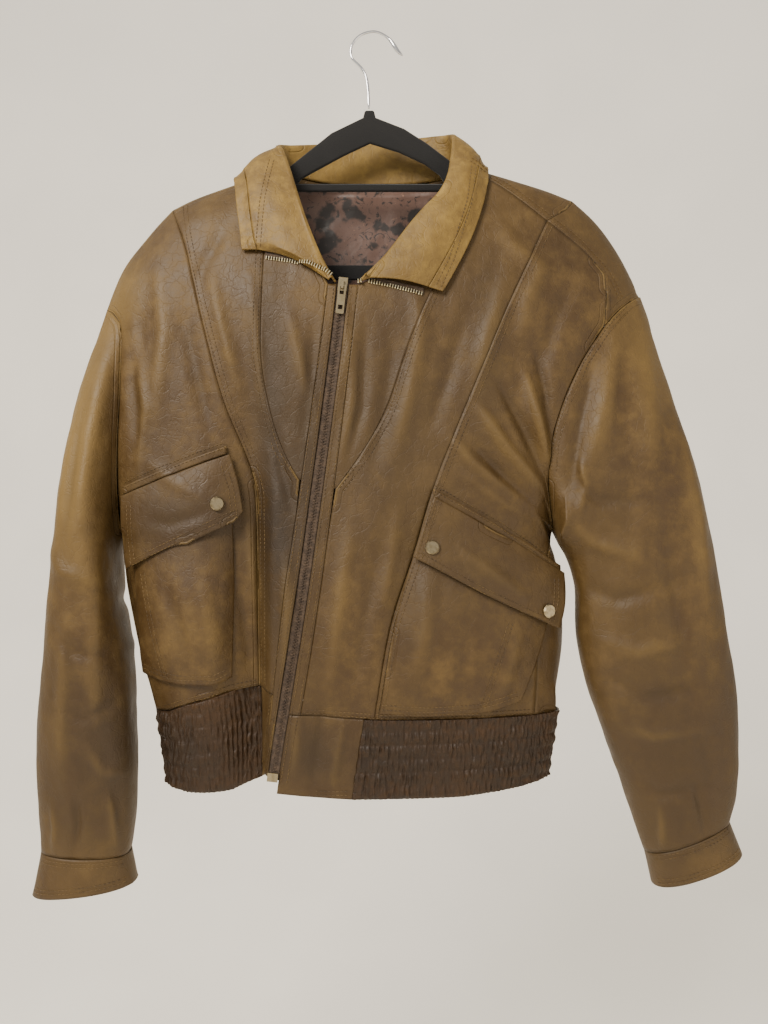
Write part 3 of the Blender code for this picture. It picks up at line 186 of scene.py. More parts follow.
@dataclass(frozen=True)
class Leather:
    """Aniline-dyed sheep leather, waxy and rubbed: patchy brown, pale on rubbed edges, with a painted highlight on
    fold crests and painted shade in fold troughs, along panel borders and under the collar.

    The patches are hand-sized, the mottling is thumb-sized and the grain is drawn at 2.2 mm, coarser
    than the real 0.5 mm, so that it shows.
    """

    name: str
    pale: str = "#5e4925"
    middle: str = "#4d3a1a"
    deep: str = "#3c2a10"
    # Pale tone of rubbed wear, also used for the painted highlight on fold crests
    worn_and_highlight: str = "#7f6635"
    # Dark tone of soiling, also used for painted shade in fold troughs, along panel borders and under the collar
    soiled_and_shade: str = "#251909"
    patch_mm: float = 170.0
    mottle_mm: float = 26.0
    grain_mm: float = 2.2
    roughness: float = 0.56
    # Half the width of the painted shade along each panel's border, in millimetres
    seam_shade_mm: float = 0.5
    bump: float = 0.55

    def build(self) -> bpy.types.Material:
        """Builds the leather's nodes: colour in layers with painted highlight and painted shade, roughness, grain,
        cracks and the sewn border.
        """
        material, tree, shader = new_material(self.name)
        place = add_node(tree, "TexCoord").outputs["Object"]
        tall = add_node(tree, "Mapping", {"Scale": (1.0, 1.0, 0.55)}, Vector=place).outputs[0]
        patch = add_node(tree, "TexNoise", {"Scale": 1 / (self.patch_mm * MM), "Detail": 4.0, "Roughness": 0.6,
                                            "Distortion": 0.6}, Vector=tall).outputs[0]
        mottle = add_node(tree, "TexNoise", {"Scale": 1 / (self.mottle_mm * MM), "Detail": 6.0,
                                             "Roughness": 0.68}, Vector=place).outputs[0]
        streak_place = add_node(tree, "Mapping", {"Scale": (1.0, 1.0, 0.16)}, Vector=place).outputs[0]
        streak = add_node(tree, "TexNoise", {"Scale": 38.0, "Detail": 4.0, "Roughness": 0.6},
                          Vector=streak_place).outputs[0]
        rim, fold, soil_and_shade = (add_node(tree, "Attribute", {"attribute_name": name}).outputs["Fac"]
                           for name in ("rim", "fold", "soil_and_shade"))
        steps = {}
        # crest and trough read the fold's rise: a painted highlight on crests and painted shade in troughs
        for name, source, low, high in (
                ("patch", patch, 0.3, 0.7), ("mottle", mottle, 0.35, 0.85), ("streak", streak, 0.48, 0.8),
                ("soil_and_shade", soil_and_shade, 0.0, 1.0), ("blotch", mottle, 0.0, 0.6), ("lightened", soil_and_shade, 0.0, -1.0),
                ("crest", fold, 0.05, 1.0), ("trough", fold, -0.1, -1.0), ("rub", rim, 0.0042, 0.0006),
                # seam paints shade in a thin band along the panel's border
                ("rubbed", mottle, 0.25, 0.6), ("seam", rim, self.seam_shade_mm * MM * 2, 0.0)):
            steps[name] = add_node(tree, "MapRange", STEP | {1: low, 2: high}, i0=source).outputs[0]
        half_rubbed = add_node(tree, "Math", {"operation": "MULTIPLY", 1: 0.5}, i0=steps["rubbed"]).outputs[0]
        colour = linear(self.deep)
        # Colour layers in order: crest is a painted highlight, trough and seam are painted shade, and the soil layer
        # is soiling with painted shade
        for name, factor, tint in (
                ("patch", 1.0, self.middle), ("mottle", 1.0, self.pale), ("streak", 0.3, self.deep),
                ("soil_and_shade", steps["blotch"], self.soiled_and_shade), ("lightened", 0.85, self.worn_and_highlight), ("crest", 0.2, self.worn_and_highlight),
                ("trough", 0.25, self.soiled_and_shade), ("rub", half_rubbed, self.worn_and_highlight), ("seam", 0.75, self.soiled_and_shade)):
            share = add_node(tree, "Math", {"operation": "MULTIPLY"}, i0=steps[name], i1=factor).outputs[0]
            colour = add_node(tree, "Mix", MIX, i0=share, i6=colour, i7=linear(tint)).outputs[2]
        tree.links.new(colour, shader.inputs["Base Color"])

        rough = add_node(tree, "MapRange", {1: 0.3, 2: 0.75, 3: self.roughness - 0.09, 4: self.roughness + 0.14},
                         i0=mottle).outputs[0]
        tree.links.new(rough, shader.inputs["Roughness"])
        grain = add_node(tree, "TexVoronoi", {"Scale": 1 / (self.grain_mm * MM), "feature": "F1"},
                         Vector=place).outputs["Distance"]
        stir = add_node(tree, "TexNoise", {"Scale": 60.0}, Vector=place).outputs[1]
        crazing_place = add_node(tree, "Mix", MIX, i0=0.02, i6=place, i7=stir).outputs[2]
        crazing = add_node(tree, "TexVoronoi", {"Scale": 75.0, "feature": "DISTANCE_TO_EDGE"},
                           Vector=crazing_place).outputs["Distance"]
        wrinkle = add_node(tree, "TexNoise", {"Scale": 90.0, "Detail": 7.0, "Roughness": 0.62, "Distortion": 0.8},
                           Vector=tall).outputs[0]
        height = add_node(tree, "Math", {"operation": "MULTIPLY_ADD", 1: 0.16}, i0=grain, i2=wrinkle).outputs[0]
        cracks = add_node(tree, "MapRange", STEP | {1: 0.0, 2: 0.06}, i0=crazing).outputs[0]
        height = add_node(tree, "Math", {"operation": "MULTIPLY_ADD", 1: 0.25}, i0=cracks, i2=height).outputs[0]
        bump = add_node(tree, "Bump", {"Strength": self.bump, "Distance": 0.0011}, Height=height)
        tree.links.new(self.sewn_bump(tree, rim, bump), shader.inputs["Normal"])
        shader.inputs["IOR"].default_value = 1.48
        shader.inputs["Specular IOR Level"].default_value = 0.4
        return material

    @staticmethod
    def sewn_bump(tree: bpy.types.NodeTree, rim: bpy.types.NodeSocket,
                  under: bpy.types.Node) -> bpy.types.NodeSocket:
        """A bump of the seam: rolled edge, a valley at each row of stitches, a soft rise past them.

        Args:
            tree: the material's node tree.
            rim: distance from the panel's border, in metres.
            under: the bump of the grain.

        Returns:
            The normal's socket.
        """
        total = add_node(tree, "MapRange", STEP | {1: 0.0, 2: 0.0016}, i0=rim).outputs[0]
        for row in STITCH_ROWS:
            offset = add_node(tree, "Math", {"operation": "SUBTRACT", 1: row}, i0=rim).outputs[0]
            away = add_node(tree, "Math", {"operation": "ABSOLUTE"}, i0=offset).outputs[0]
            near = add_node(tree, "MapRange", STEP | {1: 0.0012, 2: 0.0}, i0=away).outputs[0]
            valley = add_node(tree, "Math", {"operation": "MULTIPLY", 1: -0.5}, i0=near).outputs[0]
            total = add_node(tree, "Math", {"operation": "ADD"}, i0=total, i1=valley).outputs[0]
        return add_node(tree, "Bump", {"Strength": 0.8, "Distance": 0.0012}, Height=total,
                        Normal=under.outputs[0]).outputs[0]


@dataclass(frozen=True)
class Tape:
    """Woven polyester zip tape: dark brown, matt, with a 0.9 mm rib along its length."""

    name: str = "woven_polyester_tape"
    colour: str = "#33271d"
    edge: str = "#493a2c"
    rib_mm: float = 0.9

    def build(self) -> bpy.types.Material:
        """Builds the tape's nodes."""
        material, tree, shader = new_material(self.name)
        place = add_node(tree, "TexCoord").outputs["Object"]
        rib = add_node(tree, "TexWave", {"Scale": 1 / (self.rib_mm * MM) / 6.283, "bands_direction": "Z",
                                         "Distortion": 1.5}, Vector=place).outputs[1]
        fluff = add_node(tree, "TexNoise", {"Scale": 240.0, "Detail": 4.0}, Vector=place).outputs[0]
        share = add_node(tree, "MapRange", STEP | {1: 0.35, 2: 0.7}, i0=fluff).outputs[0]
        colour = add_node(tree, "Mix", MIX, i0=share, i6=linear(self.colour), i7=linear(self.edge)).outputs[2]
        tree.links.new(colour, shader.inputs["Base Color"])
        bump = add_node(tree, "Bump", {"Strength": 0.5, "Distance": 0.0004}, Height=rib)
        tree.links.new(bump.outputs[0], shader.inputs["Normal"])
        shader.inputs["Roughness"].default_value = 0.85
        return material


@dataclass(frozen=True)
class Satin:
    """Acetate satin lining: dark mauve brown with a soft sheen and a printed mottle of leaf-like blots."""

    name: str = "acetate_satin_print"
    ground: str = "#5a4238"
    print_dark: str = "#1f1714"
    print_pale: str = "#8a6a55"

    def build(self) -> bpy.types.Material:
        """Builds the satin's nodes."""
        material, tree, shader = new_material(self.name)
        place = add_node(tree, "TexCoord").outputs["Object"]
        stir = add_node(tree, "TexNoise", {"Scale": 24.0, "Detail": 5.0}, Vector=place).outputs[1]
        stirred = add_node(tree, "Mix", MIX, i0=0.06, i6=place, i7=stir).outputs[2]
        blots = add_node(tree, "TexVoronoi", {"Scale": 34.0, "feature": "SMOOTH_F1", "Smoothness": 0.25},
                         Vector=stirred).outputs["Distance"]
        fern = add_node(tree, "TexNoise", {"Scale": 60.0, "Detail": 6.0, "Roughness": 0.7, "Distortion": 2.2},
                        Vector=place).outputs[0]
        colour = linear(self.ground)
        for source, low, high, tint in ((blots, 0.42, 0.3, self.print_dark), (fern, 0.56, 0.6, self.print_dark),
                                        (fern, 0.36, 0.3, self.print_pale)):
            share = add_node(tree, "MapRange", STEP | {1: low, 2: high}, i0=source).outputs[0]
            colour = add_node(tree, "Mix", MIX, i0=share, i6=colour, i7=linear(tint)).outputs[2]
        tree.links.new(colour, shader.inputs["Base Color"])
        pucker = add_node(tree, "TexNoise", {"Scale": 30.0, "Detail": 3.0}, Vector=place).outputs[0]
        bump = add_node(tree, "Bump", {"Strength": 0.5, "Distance": 0.004}, Height=pucker)
        tree.links.new(bump.outputs[0], shader.inputs["Normal"])
        shader.inputs["Roughness"].default_value = 0.38
        shader.inputs["Sheen Weight"].default_value = 0.3
        return material


@dataclass(frozen=True)
class Velvet:
    """Flocked nylon velvet: near black with a grey sheen at glancing angles and a 1 mm nap."""

    name: str = "flocked_nylon"
    colour: str = "#0a0a0b"
    rubbed: str = "#101011"

    def build(self) -> bpy.types.Material:
        """Builds the flock's nodes."""
        material, tree, shader = new_material(self.name)
        place = add_node(tree, "TexCoord").outputs["Object"]
        nap = add_node(tree, "TexNoise", {"Scale": 900.0, "Detail": 2.0}, Vector=place).outputs[0]
        rubbed = add_node(tree, "TexNoise", {"Scale": 30.0, "Detail": 4.0}, Vector=place).outputs[0]
        share = add_node(tree, "MapRange", STEP | {1: 0.5, 2: 0.8}, i0=rubbed).outputs[0]
        colour = add_node(tree, "Mix", MIX, i0=share, i6=linear(self.colour), i7=linear(self.rubbed)).outputs[2]
        tree.links.new(colour, shader.inputs["Base Color"])
        bump = add_node(tree, "Bump", {"Strength": 0.6, "Distance": 0.0006}, Height=nap)
        tree.links.new(bump.outputs[0], shader.inputs["Normal"])
        shader.inputs["Roughness"].default_value = 0.95
        shader.inputs["Sheen Weight"].default_value = 0.12
        shader.inputs["Sheen Roughness"].default_value = 0.5
        return material


@dataclass(frozen=True)
class Metal:
    """A metal with fine wear: polished chrome on steel wire, or dulled antique brass on zinc."""

    name: str
    colour: str
    tarnish: str
    roughness: float
    wear_mm: float = 3.0

    def build(self) -> bpy.types.Material:
        """Builds the metal's nodes."""
        material, tree, shader = new_material(self.name)
        place = add_node(tree, "TexCoord").outputs["Object"]
        wear = add_node(tree, "TexNoise", {"Scale": 1 / (self.wear_mm * MM), "Detail": 5.0, "Roughness": 0.6},
                        Vector=place).outputs[0]
        share = add_node(tree, "MapRange", STEP | {1: 0.42, 2: 0.68}, i0=wear).outputs[0]
        colour = add_node(tree, "Mix", MIX, i0=share, i6=linear(self.colour), i7=linear(self.tarnish)).outputs[2]
        tree.links.new(colour, shader.inputs["Base Color"])
        rough = add_node(tree, "MapRange", {1: 0.3, 2: 0.75, 3: self.roughness, 4: self.roughness + 0.16},
                         i0=wear).outputs[0]
        tree.links.new(rough, shader.inputs["Roughness"])
        shader.inputs["Metallic"].default_value = 1.0
        return material


@dataclass(frozen=True)
class Thread:
    """Bonded nylon topstitching thread, tan, slightly shiny, 0.6 mm thick."""

    name: str = "bonded_nylon_thread"
    colour: str = "#5f4a26"
    shade: str = "#3c2c15"

    def build(self) -> bpy.types.Material:
        """Builds the thread's nodes."""
        material, tree, shader = new_material(self.name)
        place = add_node(tree, "TexCoord").outputs["Object"]
        dirt = add_node(tree, "TexNoise", {"Scale": 40.0, "Detail": 3.0}, Vector=place).outputs[0]
        share = add_node(tree, "MapRange", STEP | {1: 0.4, 2: 0.65}, i0=dirt).outputs[0]
        colour = add_node(tree, "Mix", MIX, i0=share, i6=linear(self.colour), i7=linear(self.shade)).outputs[2]
        tree.links.new(colour, shader.inputs["Base Color"])
        shader.inputs["Roughness"].default_value = 0.55
        return material


@dataclass(frozen=True)
class Fold:
    """A soft ridge or trough along a line of (x, z) places on one face, in millimetres."""

    line: Line
    width: float
    rise: float
    face: Face = Face.FRONT

    def at(self, x: np.ndarray, z: np.ndarray) -> np.ndarray:
        """The fold's rise at places, fading towards its ends.

        Args:
            x: places across.
            z: heights.

        Returns:
            The rise at each place.
        """
        points = np.array(self.line, float)
        steps = np.linalg.norm(np.diff(points, axis=0), axis=1)
        total, run = steps.sum(), 0.0
        best = np.full(x.shape, 1e9)
        share = np.zeros(x.shape)
        for start, end, length in zip(points[:-1], points[1:], steps):
            way = (end - start) / length
            t = np.clip((x - start[0]) * way[0] + (z - start[1]) * way[1], 0, length)
            away = np.hypot(x - start[0] - way[0] * t, z - start[1] - way[1] * t)
            near = away < best
            best = np.where(near, away, best)
            share = np.where(near, (run + t) / total, share)
            run += length
        fade = np.clip(np.sin(np.pi * np.clip(share, 0.02, 0.98)), 0, 1) ** 0.7
        return FOLD_STRENGTH * self.rise * fade * np.exp(-((best / (FOLD_WIDTH * self.width)) ** 2))


def folds(face: Face, *rows: tuple[Line, float, float]) -> list[Fold]:
    """Makes folds of one face.

    Args:
        face: the garment's face that they lie on.
        rows: a line, a width and a rise for each, in millimetres.

    Returns:
        The folds.
    """
    return [Fold(line, width, rise, face) for line, width, rise in rows]


BODY_FOLDS = folds(
    Face.FRONT,
    ([(-230, -257), (-220, -340), (-230, -443)], 12, 2.8), ([(-201, -309), (-183, -391), (-164, -463)], 10, -2.5),
    ([(-245, -309), (-253, -391), (-245, -463)], 9, -2.2), ([(-173, -267), (-156, -340), (-137, -412)], 9, 2),
    ([(-127, -288), (-121, -350), (-115, -432)], 8, 1.8), ([(-91, -309), (-76, -370), (-57, -443)], 9, 2),
    ([(-104, -432), (-94, -484), (-80, -535)], 8, -2), ([(-137, -484), (-127, -576), (-121, -669)], 8, 2),
    ([(-91, -556), (-88, -618), (-91, -710)], 9, 2.2), ([(-146, -576), (-137, -638), (-131, -700)], 6, -1.8),
    ([(-19, -329), (-22, -412), (-34, -494)], 9, 2), ([(22, -340), (12, -412), (-1, -484)], 9, -1.8),
    ([(58, -319), (38, -401), (17, -484)], 11, 2.2), ([(100, -309), (79, -381), (53, -453)], 10, -2),
    ([(-24, -535), (-34, -618), (-45, -710)], 11, 2.4), ([(5, -556), (-8, -638), (-22, -721)], 10, -2),
    ([(27, -515), (19, -576), (7, -638)], 8, 1.6), ([(146, -267), (120, -340), (100, -412)], 12, 2.5),
    ([(180, -257), (161, -309), (153, -360)], 12, 2), ([(208, -288), (188, -329), (177, -376)], 10, -2.2),
    ([(128, -385), (157, -440), (182, -492)], 8, -4.5), ([(104, -412), (140, -463), (180, -506)], 8, 4.2),
    ([(100, -453), (136, -489), (176, -522)], 7, -3.2), ([(156, -375), (172, -432), (186, -486)], 7, 4.5),
    ([(168, -350), (180, -400), (187, -450)], 6, -3), ([(70, -440), (105, -478), (150, -512)], 8, 2.2),
    ([(-30, -300), (-28, -360), (-42, -440)], 7, 1.8), ([(-8, -330), (-12, -420), (-30, -480)], 7, -1.8),
    ([(89, -484), (130, -515), (167, -537)], 6, 1.6), ([(188, -494), (192, -535), (194, -576)], 6, -2),
    ([(-76, -721), (-80, -762), (-84, -808)], 8, 1.8), ([(-50, -721), (-57, -767), (-63, -813)], 7, -1.6),
    ([(-29, -736), (-36, -772), (-43, -813)], 6, 1.4), ([(-240, -473), (-209, -494), (-173, -515)], 9, 1.4),
    ([(-240, -535), (-209, -540), (-163, -525)], 8, -1.2), ([(-215, -597), (-199, -649), (-189, -700)], 9, -1.8),
    ([(-173, -592), (-166, -649), (-164, -700)], 11, 2), ([(58, -587), (53, -649), (38, -721)], 12, 1.8),
    ([(100, -618), (94, -669), (84, -731)], 10, -1.5), ([(151, -638), (143, -685), (130, -726)], 9, 1.6),
    ([(79, -561), (120, -587), (161, -618)], 8, 1.5), ([(-255, -330), (-240, -420), (-248, -500)], 7, 2.2),
    ([(-60, -330), (-66, -400), (-72, -450)], 7, -1.5), ([(40, -290), (48, -330), (40, -380)], 9, 1.6),
    ([(130, -215), (150, -250), (190, -280)], 10, 1.6), ([(-150, -210), (-175, -260), (-190, -300)], 10, -1.8),
) + folds(
    Face.BACK,
    ([(150, -300), (110, -420), (100, -560)], 15, 3), ([(-170, -310), (-130, -430), (-120, -570)], 15, 3),
    ([(60, -260), (45, -420), (50, -600)], 16, -3), ([(-70, -260), (-55, -430), (-60, -610)], 16, -3),
    ([(0, -230), (-5, -400), (0, -560)], 18, 2.6), ([(190, -380), (165, -450), (130, -500)], 10, -2.6),
    ([(-240, -400), (-205, -470), (-165, -520)], 10, -2.6), ([(120, -600), (90, -680), (80, -735)], 12, 2.6),
    ([(-140, -600), (-110, -680), (-100, -735)], 12, 2.6), ([(20, -620), (25, -680), (15, -738)], 10, -2.4),
    ([(-30, -640), (-28, -690), (-34, -738)], 10, 2.2), ([(-205, -560), (-190, -640), (-185, -735)], 11, -2.2),
    ([(160, -560), (150, -640), (150, -735)], 11, 2.2), ([(-100, -180), (-40, -195), (30, -182)], 12, -1.8),
)

RIGHT_SLEEVE_FOLDS = folds(
    Face.FRONT,
    ([(-282, -340), (-294, -443), (-302, -535)], 11, 3), ([(-302, -391), (-312, -484), (-323, -576)], 10, -2.6),
    ([(-269, -412), (-273, -515), (-277, -618)], 9, -2.4), ([(-287, -556), (-290, -659), (-292, -762)], 11, 2.6),
    ([(-318, -618), (-323, -710), (-327, -803)], 9, 2), ([(-340, -640), (-312, -672), (-268, -680)], 8, -1.8),
    ([(-335, -731), (-302, -743), (-265, -725)], 6, -1.4), ([(-300, -770), (-285, -800), (-262, -806)], 7, 1.6),
    ([(-312, -824), (-310, -855), (-317, -888)], 5, -2.4), ([(-282, -813), (-277, -844), (-275, -888)], 5, 2),
    ([(-345, -560), (-320, -590), (-280, -600)], 9, 1.8), ([(-340, -830), (-335, -860), (-338, -888)], 5, 1.8),
) + folds(
    Face.BACK,
    ([(-300, -360), (-310, -500), (-312, -640)], 13, 3), ([(-335, -600), (-300, -630), (-265, -620)], 10, -3),
    ([(-340, -660), (-305, -680), (-262, -672)], 9, 2.4), ([(-330, -720), (-300, -745), (-262, -735)], 9, -2.4),
    ([(-290, -700), (-300, -780), (-305, -860)], 10, 2.2),
)

LEFT_SLEEVE_FOLDS = folds(
    Face.FRONT,
    ([(259, -329), (244, -412), (223, -494)], 11, 3), ([(285, -340), (290, -432), (285, -515)], 14, 2.8),
    ([(233, -360), (213, -443), (203, -515)], 8, -3.2), ([(208, -494), (233, -515), (275, -515)], 8, -3),
    ([(207, -535), (233, -561), (285, -576)], 9, 2.4), ([(223, -607), (254, -618), (316, -602)], 9, -2.4),
    ([(233, -659), (275, -674), (336, -659)], 9, 2.2), ([(244, -700), (285, -721), (352, -710)], 8, -2.4),
    ([(259, -752), (295, -762), (362, -752)], 8, 2), ([(326, -432), (342, -535), (349, -638)], 11, 2.6),
    ([(304, -535), (316, -618), (326, -710)], 9, -2.2), ([(275, -803), (300, -824), (357, -813)], 8, -2),
    ([(300, -834), (304, -855), (306, -885)], 5, 2), ([(336, -813), (343, -834), (349, -862)], 5, -2),
    ([(320, -350), (335, -400), (345, -460)], 10, -2), ([(215, -470), (222, -500), (214, -530)], 5, 2.6),
) + folds(
    Face.BACK,
    ([(280, -350), (290, -480), (310, -620)], 13, 3), ([(225, -560), (280, -590), (350, -580)], 10, -3),
    ([(230, -640), (290, -660), (365, -640)], 9, 2.6), ([(245, -710), (300, -740), (375, -720)], 9, -2.4),
    ([(300, -680), (325, -770), (335, -850)], 10, 2.2),
)

# Darkened places of the leather, soiling with painted shade among them: middle x and z, reach across and in height,
# strength
SOIL_AND_SHADE = [
    # The first place is painted shade under the collar's left side
    (92, -232, 55, 60, 0.3), (-300, -740, 80, 170, 0.5), (-310, -880, 80, 60, 0.25), (320, -760, 100, 150, 0.5),
    (345, -890, 80, 60, 0.3),
    (-190, -540, 80, 45, 0.45), (-110, -330, 20, 150, 0.35), (-100, -600, 24, 160, 0.6), (120, -330, 20, 120, 0.25),
    (120, -600, 70, 50, 0.3), (250, -480, 40, 120, 0.3), (-60, -770, 40, 50, 0.3), (-240, -430, 40, 120, 0.3),
    (-66, -500, 16, 260, 0.25), (0, -450, 150, 200, 0.2), (60, -790, 180, 40, 0.4), (-200, -780, 70, 50, 0.4),
    (215, -240, 60, 50, 0.3), (40, -680, 30, 80, 0.3), (-10, -400, 170, 220, 0.28),
]
# Lightened places, in the same way
LIGHTENED = [
    (-320, -450, 45, 150, 0.75), (-270, -300, 50, 60, 0.5), (290, -360, 60, 90, 0.45), (-200, -650, 60, 60, 0.35),
    (100, -230, 60, 40, 0.35), (-60, -310, 40, 40, 0.3), (-330, -900, 60, 30, 0.3), (370, -900, 40, 30, 0.3),
    (70, -690, 70, 30, 0.2), (-290, -600, 30, 80, 0.3), (-150, -230, 50, 40, 0.3), (340, -560, 25, 120, 0.3),
]


def soil_and_shade_at(points: np.ndarray) -> np.ndarray:
    """How dark the leather is at points, from -1 where it is lightened to 1, with soiling and painted shade.

    Args:
        points: places in millimetres.

    Returns:
        One number for each point.
    """
    total = np.zeros(len(points))
    for sign, places in ((1, SOIL_AND_SHADE), (-1, LIGHTENED)):
        for x, z, across, tall, strength in places:
            spread = ((points[:, 0] - x) / across) ** 2 + ((points[:, 2] - z) / tall) ** 2
            total += sign * strength * np.exp(-spread)
    return np.clip(total, -1, 1)


def ripple(points: np.ndarray, size: tuple[float, float, float], seed: float) -> np.ndarray:
    """Smooth hand-sized unevenness between -1 and 1.

    Args:
        points: places in millimetres.
        size: how long one swell is along each axis, in millimetres.
        seed: an offset that gives another pattern.

    Returns:
        One number for each point.
    """
    scaled = points / np.array(size) + seed
    return np.array([noise.fractal(Vector(p), 0.9, 2.1, 3) for p in scaled])


@dataclass
class Form:
    """The middle of a piece, which tells its outside from its inside."""

    centre: Line
    half_width: Line
    half_depth: float
    depth: float = 0.0

    def outward(self, points: np.ndarray) -> np.ndarray:
        """The outward direction at points, smooth through the wall.

        Args:
            points: places in millimetres.

        Returns:
            Unit vectors.
        """
        keys = np.array(sorted((z, x) for x, z in self.centre))
        widths = np.array(sorted((z, w) for w, z in self.half_width))
        middle = np.interp(points[:, 2], keys[:, 0], keys[:, 1])
        width = np.interp(points[:, 2], widths[:, 0], widths[:, 1])
        x = (points[:, 0] - middle) / width ** 2
        y = (points[:, 1] - self.depth) / self.half_depth ** 2
        length = np.maximum(np.hypot(x, y), 1e-12)
        return np.stack([x / length, y / length, np.zeros(len(points))], -1)


TORSO = Form([(0, -140), (-5, -300), (-38, -500), (-38, -830)],
             [(110, -140), (290, -300), (235, -500), (215, -830)], 50)
RIGHT_ARM = Form([(-283, -300), (-300, -430), (-311, -600), (-311, -750), (-312, -950)],
                 [(30, -300), (34, -430), (42, -600), (50, -750), (52, -950)], 48, -5)
LEFT_ARM = Form([(245, -290), (252, -420), (292, -600), (310, -720), (330, -820), (350, -950)],
                [(50, -290), (62, -420), (78, -600), (84, -720), (66, -820), (48, -950)], 42, -9)


@dataclass
class Cloth:
    """One cut piece: a subdivided shell on its CAD solid, with folds, seam distance, and marks for soiling, painted
    highlight and painted shade.
    """

    node: str
    slot: Slot
    flat: tuple[float, float]
    area: float
    form: Form = field(default_factory=lambda: TORSO)
    relief: list[Fold] = field(default_factory=list)
    levels: int = 2
    uneven: float = 0.8
    swell: tuple[float, float, float] = (34, 60, 70)
    seed: float = 0.0
    crease_angle: float = 50.0
    settled: float = 6.0

    def build(self, frame: dict, material: bpy.types.Material) -> bpy.types.Object:
        """Builds and dresses the piece.

        Args:
            material: the piece's finish.

        Returns:
            The new object.
        """
        obj = self.shell(frame["nodes"][self.node])
        self.sculpt(obj)
        obj.data.materials.clear()
        obj.data.materials.append(material)
        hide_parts(self.node)
        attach(obj, BODY)
        return obj

    def declare(self, obj: bpy.types.Object, pieces: list[bpy.types.Object]) -> None:
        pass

    def cut(self, bm: bmesh.types.BMesh) -> None:
        """A place for cuts before subdivision; a plain piece has none."""

    def shell(self, source: bpy.types.Object) -> bpy.types.Object:
        """Copies the solid, joins its triangles and subdivides it with its borders kept sharp.

        Args:
            source: the CAD node.

        Returns:
            The new shell.
        """
        bm = bmesh.new()
        bm.from_mesh(source.data)
        bmesh.ops.remove_doubles(bm, verts=bm.verts, dist=WELD)
        bmesh.ops.join_triangles(bm, faces=bm.faces, angle_face_threshold=math.radians(50),
                                 angle_shape_threshold=math.radians(70))
        self.cut(bm)
        crease = bm.edges.layers.float.new("crease_edge")
        for edge in bm.edges:
            edge[crease] = 1.0 if len(edge.link_faces) == 2 and self.is_border(edge) else 0.0
        self.keep_corners(bm, crease)
        mesh = bpy.data.meshes.new(self.node + "_leather")
        bm.to_mesh(mesh)
        bm.free()
        obj = add_object(self.node + "_shell", mesh)
        modifier = obj.modifiers.new("subdivide", "SUBSURF")
        modifier.levels = modifier.render_levels = self.levels
        bpy.context.view_layer.objects.active = obj
        bpy.ops.object.modifier_apply(modifier=modifier.name)
        obj.data.shade_smooth()
        obj.data.set_sharp_from_angle(angle=math.radians(55))
        return obj

    def is_border(self, edge: bmesh.types.BMEdge) -> bool:
        """Whether an edge turns sharply enough to be a border of the piece."""
        return edge.calc_face_angle(0) > math.radians(self.crease_angle)

    @staticmethod
    def keep_corners(bm: bmesh.types.BMesh, crease: bmesh.types.BMLayerItem) -> None:
        """Creases the points where a border turns, so that neighbours still meet there.

        Args:
            bm: the piece's mesh.
            crease: its layer of edge creases, already filled.
        """
        corner = bm.verts.layers.float.new("crease_vert")
        for vert in bm.verts:
            sharp = [edge for edge in vert.link_edges if edge[crease] > 0.5]
            if len(sharp) == 2:
                ways = [(edge.other_vert(vert).co - vert.co).normalized() for edge in sharp]
                vert[corner] = 1.0 if ways[0].dot(ways[1]) > -0.93 else 0.0
            elif len(sharp) > 2:
                vert[corner] = 1.0

    def sculpt(self, obj: bpy.types.Object) -> None:
        """Lays the folds on the shell and writes its attributes.

        Args:
            obj: the shell, whose points are moved.
        """
        mesh = obj.data
        points = np.empty(len(mesh.vertices) * 3)
        mesh.vertices.foreach_get("co", points)
        points = points.reshape(-1, 3) / MM
        rim = self.rim_distance(mesh, points)
        rise = self.rise(points)
        still = np.clip(rim / self.settled, 1 - min(self.settled / FREE_CLOTH, 1), 1)
        total = rise + self.uneven * ripple(points, self.swell, self.seed)
        points = self.close_seam(points + self.form.outward(points) * (total * still)[:, None])
        mesh.vertices.foreach_set("co", (points * MM).ravel())
        # The scaled rise drives the leather's painted highlight on crests and painted shade in troughs
        shade = np.clip(total / FULL_RISE, -1, 1)
        for name, values in (("rim", rim * MM), ("fold", shade), ("soil_and_shade", soil_and_shade_at(points))):
            layer = mesh.attributes.new(name, "FLOAT", "POINT")
            layer.data.foreach_set("value", values.astype(np.float32))
        mesh.update()

    def close_seam(self, points: np.ndarray) -> np.ndarray:
        """A place to draw a border up to its neighbour; a plain piece stays as it is."""
        return points

    def rise(self, points: np.ndarray) -> np.ndarray:
        """The folds' rise at points, each on its own face.

        Args:
            points: places in millimetres.

        Returns:
            The rise at each point, in millimetres.
        """
        y = points[:, 1] - self.form.depth
        total = np.zeros(len(points))
        for fold in self.relief:
            on_face = np.clip(0.5 + fold.face.value * y / FACE_FADE, 0, 1)
            total += fold.at(points[:, 0], points[:, 2]) * on_face
        return total

    def rim_distance(self, mesh: bpy.types.Mesh, points: np.ndarray) -> np.ndarray:
        """Distance of each point from the piece's sharp border.

        Args:
            mesh: the subdivided mesh, with its sharp edges marked.
            points: its points in millimetres.

        Returns:
            The distances in millimetres.
        """
        sharp = mesh.attributes.get("sharp_edge")
        marks = np.zeros(len(mesh.edges), bool)
        if sharp:
            sharp.data.foreach_get("value", marks)
        ends = np.empty(len(mesh.edges) * 2, int)
        mesh.edges.foreach_get("vertices", ends)
        rim = np.unique(ends.reshape(-1, 2)[marks])
        if not len(rim):
            return np.full(len(points), 20.0)
        tree = KDTree(len(rim))
        for k in rim:
            tree.insert(points[k], int(k))
        tree.balance()
        return np.array([tree.find(p)[2] for p in points])


